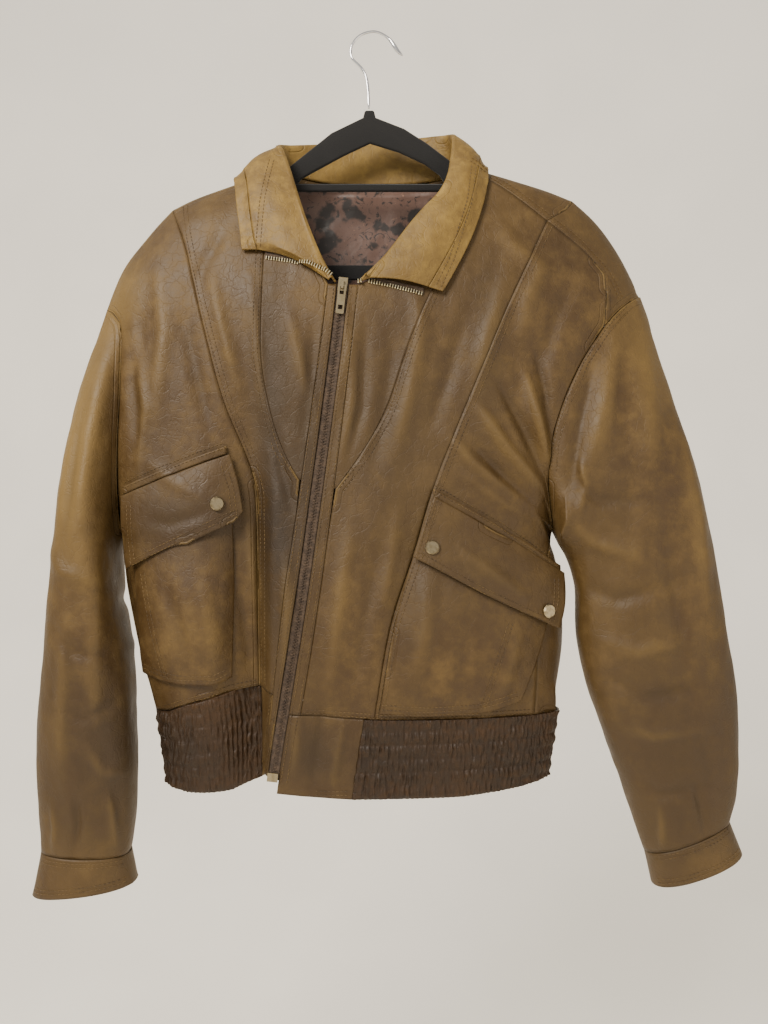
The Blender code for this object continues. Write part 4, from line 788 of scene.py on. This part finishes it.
@dataclass
class Gathered(Cloth):
    """A stretch of the waistband: soft gathers pinched by level rows of stitches."""

    top: float = -715.0
    foot: float = -820.0
    rows: int = 6
    step: float = 9.5
    settled: float = 7.0
    unstitched: float = 20.0
    middle: Line = field(default_factory=lambda: [(-235, -771), (-122, -762), (-20, -783), (190, -780)])
    bulge_rise: float = 1.8
    gather_rise: float = 1.5
    gather_size: tuple[float, float, float] = (2.4, 40, 12)
    slack_size: tuple[float, float, float] = (26, 40, 30)
    border: Line = field(default_factory=list)
    drawn: float = 0.9
    drawn_reach: float = 8.0

    def cut(self, bm: bmesh.types.BMesh) -> None:
        """Cuts level loops, close enough for the rows of stitches.

        Args:
            bm: the piece's mesh before subdivision.
        """
        for height in np.arange(self.foot + self.step, self.top, self.step):
            geometry = list(bm.verts) + list(bm.edges) + list(bm.faces)
            bmesh.ops.bisect_plane(bm, geom=geometry, dist=1e-7, plane_co=(0, 0, height * MM), plane_no=(0, 0, 1))

    def is_border(self, edge: bmesh.types.BMEdge) -> bool:
        """Whether just one of the edge's two faces is the cut side of the wall.

        Args:
            edge: an edge with two faces.

        Returns:
            Whether the edge is a border.
        """
        centres = np.array([face.calc_center_median() for face in edge.link_faces]) / MM
        normals = np.array([face.normal for face in edge.link_faces])
        cut_side = np.abs((self.form.outward(centres) * normals).sum(axis=1)) < 0.35
        return bool(cut_side[0] != cut_side[1])

    def close_seam(self, points: np.ndarray) -> np.ndarray:
        """Draws a border up to the tab beside it, so that no light shows between them.

        Args:
            points: places in millimetres.

        Returns:
            The places with the border drawn across.
        """
        if self.border:
            places, heights = zip(*self.border)
            past = points[:, 0] - np.interp(points[:, 2], heights, places)
            points[:, 0] -= self.drawn * np.clip(1 - past / self.drawn_reach, 0, 1)
        return points

    def rise(self, points: np.ndarray) -> np.ndarray:
        """Bulges between the rows of stitches, uneven along the band.

        Args:
            points: places in millimetres.

        Returns:
            The rise at each point, in millimetres.
        """
        places, heights = zip(*self.middle)
        above = points[:, 2] - np.interp(points[:, 0], places, heights)
        phase = above / ((self.top - self.foot - self.unstitched) / self.rows)
        bulge = np.abs(np.sin(np.pi * phase)) ** 0.6
        gathers = ripple(points, self.gather_size, 5.0)
        slack = ripple(points, self.slack_size, 9.0)
        return (self.bulge_rise * (bulge * (1 + 0.5 * slack) - 0.5)
                + self.gather_rise * gathers * (0.3 + bulge))


STITCH_LENGTH = 3.2
STITCH_GAP = 1.1
STITCH_RADIUS = 0.38
# How far in front of the hanger a line of sight starts, in metres
SIGHT = 0.3


@dataclass
class Seam:
    """A row of stitches along a line of (x, z) places, sewn on the face seen from one side."""

    line: Line
    offset: float
    face: Face = Face.FRONT


class Sewing:
    """Topstitching: threads laid on the leather along the seams."""

    def __init__(self, surfaces: list[bpy.types.Object]) -> None:
        """Keeps the surfaces that the threads lie on.

        Args:
            surfaces: objects whose meshes are the cloth.
        """
        bm = bmesh.new()
        for surface in surfaces:
            bm.from_mesh(surface.data)
        self.tree = BVHTree.FromBMesh(bm)
        bm.free()

    def touch(self, x: float, z: float, face: Face) -> tuple[Vector, Vector] | None:
        """Where a line of sight along Y meets the cloth.

        Args:
            x: place across, in millimetres.
            z: height, in millimetres.
            face: the side that it is seen from.

        Returns:
            The point and the outward normal in metres, or None.
        """
        start = Vector((x * MM, face.value * SIGHT, z * MM))
        hit, normal, _, _ = self.tree.ray_cast(start, Vector((0, -face.value, 0)), 2 * SIGHT)
        if hit is None:
            return None
        if normal.y * face.value < 0:
            normal = -normal
        return hit, normal

    def sew(self, name: str, seams: list[Seam], material: bpy.types.Material) -> bpy.types.Object | None:
        """Sews rows of stitches as one mesh.

        Args:
            name: the piece's name.
            seams: the rows.
            material: the thread's finish.

        Returns:
            The threads, or None where nothing was met.
        """
        bm = bmesh.new()
        for seam in seams:
            self.row(bm, seam)
        if not bm.verts:
            bm.free()
            return None
        mesh = bpy.data.meshes.new(name)
        bm.to_mesh(mesh)
        bm.free()
        obj = add_object(name, mesh)
        mesh.materials.append(material)
        mesh.shade_smooth()
        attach(obj, BODY)
        return obj

    def row(self, bm: bmesh.types.BMesh, seam: Seam) -> None:
        """Adds one row's stitches to a mesh.

        Args:
            bm: the mesh.
            seam: the row.
        """
        points = np.array(seam.line, float)
        steps = np.linalg.norm(np.diff(points, axis=0), axis=1)
        run = np.concatenate([[0], np.cumsum(steps)])
        pitch = STITCH_LENGTH + STITCH_GAP
        starts = np.arange(0, run[-1] - STITCH_LENGTH, pitch)
        for start in starts:
            ends = []
            for at in (start, start + STITCH_LENGTH):
                x, z = (np.interp(at, run, points[:, k]) for k in (0, 1))
                ahead = [np.interp(at + 2, run, points[:, k]) - np.interp(at - 2, run, points[:, k]) for k in (0, 1)]
                length = math.hypot(*ahead) or 1.0
                x, z = x - ahead[1] / length * seam.offset, z + ahead[0] / length * seam.offset
                ends.append(self.touch(x, z, seam.face))
            if None in ends or (ends[0][0] - ends[1][0]).length > 2 * STITCH_LENGTH * MM:
                continue
            self.stitch(bm, *ends)

    @staticmethod
    def stitch(bm: bmesh.types.BMesh, start: tuple[Vector, Vector], end: tuple[Vector, Vector]) -> None:
        """Adds one stitch: a short thread that dives into the leather at both ends.

        Args:
            bm: the mesh.
            start: the first end's place and outward normal.
            end: the other end's.
        """
        along = end[0] - start[0]
        across = along.cross(start[1]).normalized() * STITCH_RADIUS * MM
        rings = []
        for share, lift, size in ((0.0, -0.15, 0.5), (0.2, 0.32, 1.0), (0.8, 0.32, 1.0), (1.0, -0.15, 0.5)):
            normal = start[1].lerp(end[1], share).normalized()
            middle = start[0] + along * share + normal * lift * MM
            up = normal * STITCH_RADIUS * MM
            rings.append([bm.verts.new(middle + (across * math.cos(a) + up * math.sin(a)) * size)
                          for a in (0, 1.571, 3.142, 4.712)])
        for low, high in zip(rings[:-1], rings[1:]):
            for k in range(4):
                bm.faces.new((low[k - 1], low[k], high[k], high[k - 1]))
        bm.faces.new(rings[0])
        bm.faces.new(rings[-1][::-1])


def both(line: Line, near: float, far: float, face: Face = Face.FRONT) -> list[Seam]:
    """A double row of stitches to one side of a seam.

    Args:
        line: the seam.
        near: the first row's distance from it, in millimetres.
        far: the second row's distance.
        face: the side that it is seen from.

    Returns:
        The two rows.
    """
    return [Seam(line, near, face), Seam(line, far, face)]


ZIP_LINE = [(-31.5, -292), (-37, -341.6), (-57.5, -498), (-80.5, -660), (-105.4, -808)]
BIB_RIGHT = [(-104, -150), (-111, -200), (-115, -261), (-117, -363), (-108, -419), (-96, -460), (-76.2, -494)]
BIB_LEFT = [(101, -158), (95, -200), (76, -262), (52, -314), (34, -358), (14, -421), (-9, -462), (-39, -503)]
PRINCESS_RIGHT = [(-212, -193), (-201, -240), (-190, -284), (-173, -350), (-155, -415), (-131, -473),
                  (-122, -508), (-121, -600), (-121, -710)]
PRINCESS_LEFT = [(183, -219), (142, -307), (115, -370), (90, -430), (61, -504), (40, -577), (18, -642), (1, -740)]
YOKE_LEFT = [(101, -155.5), (126, -169), (154, -191), (185, -216.5), (217, -242), (247, -275), (262, -302)]
ARM_LEFT = [(270, -303), (244, -331), (219, -367), (197.5, -413), (186.5, -451), (183.6, -486)]
YOKE_BACK_LEFT = [(112, -172), (145, -196), (182, -222), (218, -250), (252, -282)]
YOKE_BACK_RIGHT = [(-115, -174), (-150, -202), (-190, -232), (-228, -262), (-262, -295)]
ARM_BACK_LEFT = [(281, -303), (262, -331), (244, -367), (226, -413), (212, -451), (199, -505)]
ARM_BACK_RIGHT = [(-285, -320), (-278, -360), (-274, -437), (-274, -507)]
FLAP_RIGHT = [(-262, -520), (-262, -560), (-258, -588), (-200, -561), (-138, -531), (-142, -500), (-150, -474)]
FLAP_LEFT = [(62, -514), (50, -545), (42, -574), (110, -612), (190, -650), (197, -622), (199, -596)]
WELT_RIGHT = [(-264, -500), (-153, -458)]
WELT_LEFT = [(61.5, -503), (134, -543), (197, -585)]

TOPSTITCHING = {
    "right_bib_thread": both(BIB_RIGHT, -3, -8),
    "left_bib_thread": both(BIB_LEFT, 3, 8),
    "right_princess_thread": both(PRINCESS_RIGHT, 3, 8),
    "left_princess_thread": both(PRINCESS_LEFT, 3, 8),
    "placket_thread": [Seam(ZIP_LINE, -9, Face.FRONT), Seam(ZIP_LINE, 9, Face.FRONT),
                       Seam(ZIP_LINE, -15.5, Face.FRONT), Seam(ZIP_LINE, 15.5, Face.FRONT)],
    "left_yoke_thread": both(YOKE_LEFT, 3, 8) + both(YOKE_BACK_LEFT, 3, 8, Face.BACK),
    "right_yoke_thread": both(YOKE_BACK_RIGHT, 3, 8, Face.BACK),
    "armhole_thread": both(ARM_LEFT, 3, 8) + both(ARM_BACK_LEFT, 3, 8, Face.BACK)
    + both(ARM_BACK_RIGHT, -3, -8, Face.BACK),
    "flap_thread": both(FLAP_RIGHT, 3, 8) + both(FLAP_LEFT, 3, 8),
    "welt_thread": [Seam(WELT_RIGHT, -1.6), Seam(WELT_RIGHT, 4), Seam(WELT_LEFT, -1.6), Seam(WELT_LEFT, 4)],
    "pouch_thread": both([(-245, -592), (-236, -640), (-221.5, -701)], 0, 5)
    + both([(138.7, -640), (125.3, -682.5), (109.9, -732)], 0, 5)
    + both([(-248, -697), (-207.7, -704), (-165.4, -704), (-150, -697)], 2, 7)
    + both([(8, -732), (55, -735), (110, -733), (152, -721)], 2, 7),
    "cuff_thread": both([(-357, -893.5), (-267, -896.5)], -3, -7) + both([(-366, -938), (-262, -925.5)], 4, 8)
    + both([(298, -892), (381, -860)], -3, -7) + both([(306, -928), (395, -894)], 4, 8),
    "waist_thread": both([(-222, -740), (-198, -730), (-173, -723), (-147, -715), (-123, -711)], 2, 6)
    + both([(-70, -737), (1, -742), (168, -742)], 2, 6),
    "hem_thread": [Seam([(-60, -824), (-24, -824)], 4), Seam([(-60, -824), (-24, -824)], 8)],
}


@dataclass
class ZipTeeth:
    """The zip's teeth: bright metal ones on the free ends, a dark closed row below the slider."""

    pitch: float = 2.8
    closed_pitch: float = 1.7
    free_right: Line = field(default_factory=lambda: [(-36.6, -288), (-50, -277.6), (-66.6, -270), (-88, -265),
                                                      (-113, -261)])
    free_left: Line = field(default_factory=lambda: [(-24, -289), (-4.5, -288), (16, -292), (31, -296), (52, -301.5)])

    @staticmethod
    def block(bm: bmesh.types.BMesh, middle: Vector, run: Vector, out: Vector,
              size: tuple[float, float, float]) -> None:
        """Adds one tooth as a block with a tapered crown.

        Args:
            bm: the mesh.
            middle: the tooth's foot.
            run: direction along the row.
            out: direction away from the jacket.
            size: length along the row, width across it and height, in millimetres.
        """
        across = run.cross(out).normalized()
        rows = []
        for lift, scale in ((-0.4, 1.0), (0.6, 1.0), (1.0, 0.6)):
            corners = [(-1, -1), (1, -1), (1, 1), (-1, 1)]
            rows.append([bm.verts.new(middle + (run * a * size[0] / 2 + across * b * size[1] / 2) * scale * MM
                                      + out * lift * size[2] * MM) for a, b in corners])
        for low, high in zip(rows[:-1], rows[1:]):
            for k in range(4):
                bm.faces.new((low[k - 1], low[k], high[k], high[k - 1]))
        bm.faces.new(rows[0][::-1])
        bm.faces.new(rows[-1])

    def row(self, bm: bmesh.types.BMesh, sewing: Sewing, line: Line, pitch: float, size: tuple[float, float, float],
            stagger: float) -> None:
        """Adds a row of teeth along a line, set on what the line meets from the front.

        Args:
            bm: the mesh.
            sewing: finds what the line meets.
            line: the row's places.
            pitch: the teeth's distance, in millimetres.
            size: a tooth's length along the row, width across it and height.
            stagger: how far the teeth stand to the sides in turn.
        """
        points = np.array(line, float)
        run = np.concatenate([[0], np.cumsum(np.linalg.norm(np.diff(points, axis=0), axis=1))])
        for number, at in enumerate(np.arange(0, run[-1], pitch)):
            x, z = (float(np.interp(at, run, points[:, k])) for k in (0, 1))
            ahead = [float(np.interp(at + 1, run, points[:, k]) - np.interp(at - 1, run, points[:, k]))
                     for k in (0, 1)]
            way = Vector((ahead[0], 0, ahead[1])).normalized()
            side = Vector((-way.z, 0, way.x)) * stagger * (1 if number % 2 else -1)
            touched = sewing.touch(x + side.x, z + side.z, Face.FRONT)
            if touched:
                self.block(bm, touched[0], way, Vector((0, -1, 0)), size)

    def build(self, sewing: Sewing, bright: bpy.types.Material, dark: bpy.types.Material) -> list[bpy.types.Object]:
        """Builds the free and the closed teeth.

        Args:
            sewing: finds what the rows meet.
            bright: the finish of the free teeth.
            dark: the finish of the closed row.

        Returns:
            The two new objects.
        """
        made = []
        foot = [(-32.6, -303)] + ZIP_LINE[1:]
        plans = (("zip_teeth_free", [(self.free_right, self.pitch, (1.5, 4.4, 2.4), 0.0),
                                     (self.free_left, self.pitch, (1.5, 4.4, 2.4), 0.0)], bright, Slot.BRASS),
                 ("zip_teeth_closed", [(foot, self.closed_pitch, (1.2, 3.0, 0.9), 1.1)], dark, Slot.TAPE))
        for name, rows, material, slot in plans:
            bm = bmesh.new()
            for line, pitch, size, stagger in rows:
                self.row(bm, sewing, line, pitch, size, stagger)
            mesh = bpy.data.meshes.new(name)
            bm.to_mesh(mesh)
            bm.free()
            mesh.materials.append(material)
            obj = add_object(name, mesh)
            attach(obj, BODY)
            made.append(obj)
        return made


@dataclass
class Hanger:
    """The flocked body with rounded edges and the wire hook."""

    edge: float = 2.0

    def build(self, frame: dict, velvet: bpy.types.Material, chrome: bpy.types.Material) -> list[bpy.types.Object]:
        """Builds both pieces from copies of their solids.

        Args:
            velvet: the body's finish.
            chrome: the hook's finish.

        Returns:
            The body and the hook.
        """
        body = self.copy(frame["nodes"]["hanger_body"], "hanger_flock", velvet, Slot.VELVET)
        bpy.context.view_layer.objects.active = body
        bevel = body.modifiers.new("edge", "BEVEL")
        bevel.width, bevel.segments, bevel.limit_method = self.edge * MM, 4, "ANGLE"
        bevel.angle_limit = math.radians(60)
        bpy.ops.object.modifier_apply(modifier=bevel.name)
        body.data.shade_smooth()
        hook = self.copy(frame["nodes"]["hanger_hook"], "hanger_wire", chrome, Slot.CHROME)
        bpy.context.view_layer.objects.active = hook
        smooth = hook.modifiers.new("round", "SUBSURF")
        smooth.levels = smooth.render_levels = 2
        bpy.ops.object.modifier_apply(modifier=smooth.name)
        hook.data.shade_smooth()
        return [body, hook]

    @staticmethod
    def copy(source: bpy.types.Object, name: str, material: bpy.types.Material, slot: Slot) -> bpy.types.Object:
        """Copies a CAD node as a merged mesh of its own with a finish.

        Args:
            source: the CAD node.
            name: the new piece's name.
            material: its finish.
            slot: its slot in the record; not used.

        Returns:
            The new object.
        """
        bm = bmesh.new()
        bm.from_mesh(source.data)
        bmesh.ops.remove_doubles(bm, verts=bm.verts, dist=WELD)
        bmesh.ops.dissolve_limit(bm, angle_limit=math.radians(2), verts=bm.verts, edges=bm.edges)
        mesh = bpy.data.meshes.new(name)
        bm.to_mesh(mesh)
        bm.free()
        mesh.materials.append(material)
        obj = add_object(name, mesh)
        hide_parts(source.name)
        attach(obj, BODY)
        return obj


PIECES = [
    Cloth("back", Slot.LEATHER, (0.52, 0.62), 0.285, TORSO, BODY_FOLDS, 3, 1.2, seed=1.0),
    Cloth("right_bib", Slot.LEATHER, (0.075, 0.35), 0.0152, TORSO, BODY_FOLDS, 3),
    Cloth("left_bib", Slot.LEATHER, (0.115, 0.35), 0.0137, TORSO, BODY_FOLDS, 3),
    Cloth("right_middle_front", Slot.LEATHER, (0.13, 0.54), 0.0336, TORSO, BODY_FOLDS, 3),
    Cloth("left_middle_front", Slot.LEATHER, (0.20, 0.60), 0.0493, TORSO, BODY_FOLDS, 3),
    Cloth("right_side_front", Slot.LEATHER, (0.19, 0.56), 0.0695, TORSO, BODY_FOLDS, 3),
    Cloth("left_side_front", Slot.LEATHER, (0.23, 0.56), 0.0664, TORSO, BODY_FOLDS, 3),
    Cloth("right_yoke_inner", Slot.LEATHER, (0.10, 0.09), 0.0067, TORSO, [], 3, 0.3),
    Cloth("right_yoke_outer", Slot.LEATHER, (0.11, 0.09), 0.0062, TORSO, [], 3, 0.3),
    Cloth("left_yoke_inner", Slot.LEATHER, (0.13, 0.13), 0.011, TORSO, BODY_FOLDS, 3, 0.3),
    Cloth("left_yoke_outer", Slot.LEATHER, (0.15, 0.13), 0.0135, TORSO, BODY_FOLDS, 3, 0.3),
    Cloth("right_sleeve", Slot.LEATHER, (0.34, 0.60), 0.144, RIGHT_ARM, RIGHT_SLEEVE_FOLDS, 3, 1.7,
          (40, 60, 95), 2.0),
    Cloth("left_sleeve", Slot.LEATHER, (0.42, 0.60), 0.19, LEFT_ARM, LEFT_SLEEVE_FOLDS, 3, 1.9, (44, 60, 95), 3.0),
    Cloth("right_cuff", Slot.LEATHER, (0.27, 0.048), 0.0114, RIGHT_ARM, [], 3, 0.5),
    Cloth("left_cuff", Slot.LEATHER, (0.25, 0.045), 0.0103, LEFT_ARM, [], 3, 0.5),
    Cloth("right_placket", Slot.LEATHER, (0.014, 0.53), 0.006, TORSO, BODY_FOLDS, 3),
    Cloth("left_placket", Slot.LEATHER, (0.013, 0.46), 0.0055, TORSO, BODY_FOLDS, 3),
    Cloth("right_pouch", Slot.LEATHER, (0.125, 0.24), 0.0265, TORSO, BODY_FOLDS, 3, 0.8, settled=0.9),
    Cloth("left_pouch", Slot.LEATHER, (0.18, 0.24), 0.031, TORSO, BODY_FOLDS, 3, 0.8, settled=0.9),
    Cloth("right_flap", Slot.LEATHER, (0.13, 0.09), 0.010, TORSO, BODY_FOLDS, 3, 0.8, settled=0.9),
    Cloth("left_flap", Slot.LEATHER, (0.175, 0.075), 0.01125, TORSO, BODY_FOLDS, 3, 0.8, settled=0.9),
    Cloth("right_welt", Slot.LEATHER, (0.12, 0.011), 0.0013, TORSO, BODY_FOLDS, 2, 0.8, settled=0.9),
    Cloth("left_welt", Slot.LEATHER, (0.16, 0.0105), 0.00165, TORSO, BODY_FOLDS, 2, 0.8, settled=0.9),
    Cloth("waist_left_tab", Slot.LEATHER, (0.09, 0.085), 0.0069, TORSO, BODY_FOLDS, 3, 0.8),
    Cloth("waist_right_tab", Slot.LEATHER, (0.022, 0.105), 0.0022, TORSO, BODY_FOLDS, 3, 0.3),
    Cloth("collar", Slot.COLLAR, (0.56, 0.10), 0.0469, TORSO, [], 3, 0.5, (20, 30, 30), 4.0, crease_angle=60),
    Cloth("collar_edge_band", Slot.COLLAR, (0.66, 0.017), 0.0106, TORSO, [], 3, 0.7, (7, 9, 9), 6.0,
          crease_angle=60),
    Gathered("waist_right_shirred", Slot.WAIST, (0.145, 0.105), 0.01355, TORSO, [], 2, 0.3),
    Gathered("waist_left_shirred", Slot.WAIST, (0.22, 0.09), 0.0193, TORSO, [], 2, 0.3,
             border=[(-21, -823), (-12.7, -741)]),
    Gathered("waist_back_shirred", Slot.WAIST, (0.43, 0.09), 0.0383, TORSO, [], 1, 0.3, step=6.8),
    Cloth("waist_left_strip", Slot.WAIST, (0.0145, 0.08), 0.0011, TORSO, [], 3, 0.2),
    Cloth("waist_right_strip", Slot.WAIST, (0.0165, 0.085), 0.00135, TORSO, [], 3, 0.2),
    Cloth("right_zip_tape", Slot.TAPE, (0.01, 0.53), 0.0035, TORSO, BODY_FOLDS, 2, 0.0),
    Cloth("left_zip_tape", Slot.TAPE, (0.01, 0.53), 0.0036, TORSO, BODY_FOLDS, 2, 0.0),
    Cloth("lining_back", Slot.LINING, (0.23, 0.17), 0.0367, TORSO, [], 2, 2.0, (30, 40, 30), 7.0),
]


# The sweep, in metres: its floor's height, how far back it stands and its bend's radius
FLOOR = -1.5
BACKDROP = 2.2
BEND = 1.6
HALF_WIDTH = 6.0
FLOOR_FRONT = -5.0
BACKDROP_TOP = 4.0


def add_sweep() -> None:
    """A pale floor far below that sweeps up into a plain backdrop, in metres, staged."""
    material, tree, shader = new_material("matt_wall_paint")
    place = add_node(tree, "TexCoord").outputs["Object"]
    cloud = add_node(tree, "TexNoise", {"Scale": 3.0, "Detail": 3.0}, Vector=place).outputs[0]
    share = add_node(tree, "MapRange", STEP | {1: 0.3, 2: 0.7}, i0=cloud).outputs[0]
    colour = add_node(tree, "Mix", MIX, i0=share, i6=linear("#e2ded6"), i7=linear("#e9e5dd")).outputs[2]
    tree.links.new(colour, shader.inputs["Base Color"])
    shader.inputs["Roughness"].default_value = 0.8
    shader.inputs["Emission Color"].default_value = linear("#ebe1cd")
    shader.inputs["Emission Strength"].default_value = 0.5
    turn = np.linspace(0, math.pi / 2, 17)
    profile = [(FLOOR_FRONT, FLOOR)]
    profile += [(BACKDROP - BEND + BEND * math.sin(a), FLOOR + BEND - BEND * math.cos(a)) for a in turn]
    profile.append((BACKDROP, BACKDROP_TOP))
    mesh = bpy.data.meshes.new("sweep")
    points = [(x, y, z) for y, z in profile for x in (-HALF_WIDTH, HALF_WIDTH)]
    quads = [(2 * k, 2 * k + 1, 2 * k + 3, 2 * k + 2) for k in range(len(profile) - 1)]
    mesh.from_pydata(points, [], quads)
    mesh.shade_smooth()
    mesh.materials.append(material)
    sweep = add_object("sweep", mesh)


def add_light(name: str, energy: float, size: float, place: tuple[float, float, float], warmth: str) -> None:
    """Adds a square soft light that faces the jacket's middle.

    Args:
        name: the light's name.
        energy: its power in watts.
        size: the side of the square in metres.
        place: where it stands.
        warmth: its colour.
    """
    light = bpy.data.lights.new(name, "AREA")
    light.energy, light.size, light.color = energy, size, linear(warmth)[:3]
    obj = bpy.data.objects.new(name, light)
    bpy.context.scene.collection.objects.link(obj)
    obj.location = place
    obj.rotation_euler = (Vector((0, 0, -0.5)) - Vector(place)).to_track_quat("-Z", "Y").to_euler()


def add_camera_and_lights() -> None:
    """The camera level with the chest, and soft light from the upper left."""
    camera = bpy.data.cameras.new("camera")
    camera.sensor_fit, camera.sensor_height, camera.lens = "VERTICAL", 24.0, 20.25
    obj = bpy.data.objects.new("camera", camera)
    bpy.context.scene.collection.objects.link(obj)
    obj.location = CAMERA_PLACE
    obj.rotation_euler = (math.pi / 2, 0, 0)
    bpy.context.scene.camera = obj
    add_light("key", 80.0, 0.9, (-1.1, -1.5, 0.8), "#fff6ea")
    add_light("fill", 16.0, 2.0, (1.6, -1.6, -0.4), "#fff0dc")
    world = bpy.data.worlds.new("room")
    bpy.context.scene.world = world
    world.use_nodes = True
    world.node_tree.nodes["Background"].inputs[0].default_value = linear("#e9e4dc")
    world.node_tree.nodes["Background"].inputs[1].default_value = 0.8


def finishes() -> dict[Slot, bpy.types.Material]:
    """Builds each slot's finish."""
    return {
        Slot.LEATHER: Leather("aniline_sheep_leather").build(),
        # In each leather the fourth colour is wear with painted highlight, and the fifth is soiling with painted
        # shade
        Slot.COLLAR: Leather("rubbed_collar_leather", "#8f7437", "#775e2a", "#5a4520", "#a58848", "#3a2a14",
                             patch_mm=90, mottle_mm=16).build(),
        Slot.WAIST: Leather("gathered_dark_leather", "#41290a", "#301d05", "#211303", "#563c10", "#130a02",
                            patch_mm=110, mottle_mm=9).build(),
        Slot.TAPE: Tape().build(),
        Slot.LINING: Satin().build(),
        Slot.VELVET: Velvet().build(),
        Slot.CHROME: Metal("chromed_steel_wire", "#e4e4e6", "#c9c9cc", 0.08, 8.0).build(),
        Slot.BRASS: Metal("antique_brass_on_zinc", "#a3967a", "#84775c", 0.24, 6.0).build(),
    }


def main() -> None:
    """Builds the scene in order and reports each piece."""
    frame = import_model()
    bpy.ops.object.select_all(action="DESELECT")
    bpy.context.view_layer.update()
    add_camera_and_lights()
    add_sweep()
    looks = finishes()
    made = {}
    for piece in PIECES:
        made[piece.node] = piece.build(frame, looks[piece.slot])
        LOG.info("%s: %d faces", piece.node, len(made[piece.node].data.polygons))
    for node in ("right_zip_top", "left_zip_top"):
        replace_finish(frame["nodes"][node], looks[Slot.TAPE])
    for node in ("right_stud_1", "left_stud_1", "left_stud_2", "zip_slider", "zip_pull", "zip_box"):
        replace_finish(frame["nodes"][node], looks[Slot.BRASS])
    sewing = Sewing(list(made.values()) + [frame["nodes"]["right_zip_top"], frame["nodes"]["left_zip_top"]])
    thread = Thread().build()
    for name, seams in TOPSTITCHING.items():
        sewn = sewing.sew(name, seams, thread)
        LOG.info("%s: %s", name, "sewn" if sewn else "nothing met")
    ZipTeeth().build(sewing, Metal("polished_brass", "#e0d6b4", "#a89a74", 0.2).build(), looks[Slot.TAPE])
    Hanger().build(frame, looks[Slot.VELVET], looks[Slot.CHROME])
    for piece in PIECES:
        piece.declare(made[piece.node], [])


def replace_finish(node: bpy.types.Object, material: bpy.types.Material) -> None:
    """Gives a carried-over CAD node its finish."""
    node.data.materials.clear()
    node.data.materials.append(material)


if __name__ == "__main__":
    logging.basicConfig(level=logging.INFO, format="%(message)s")
    main()
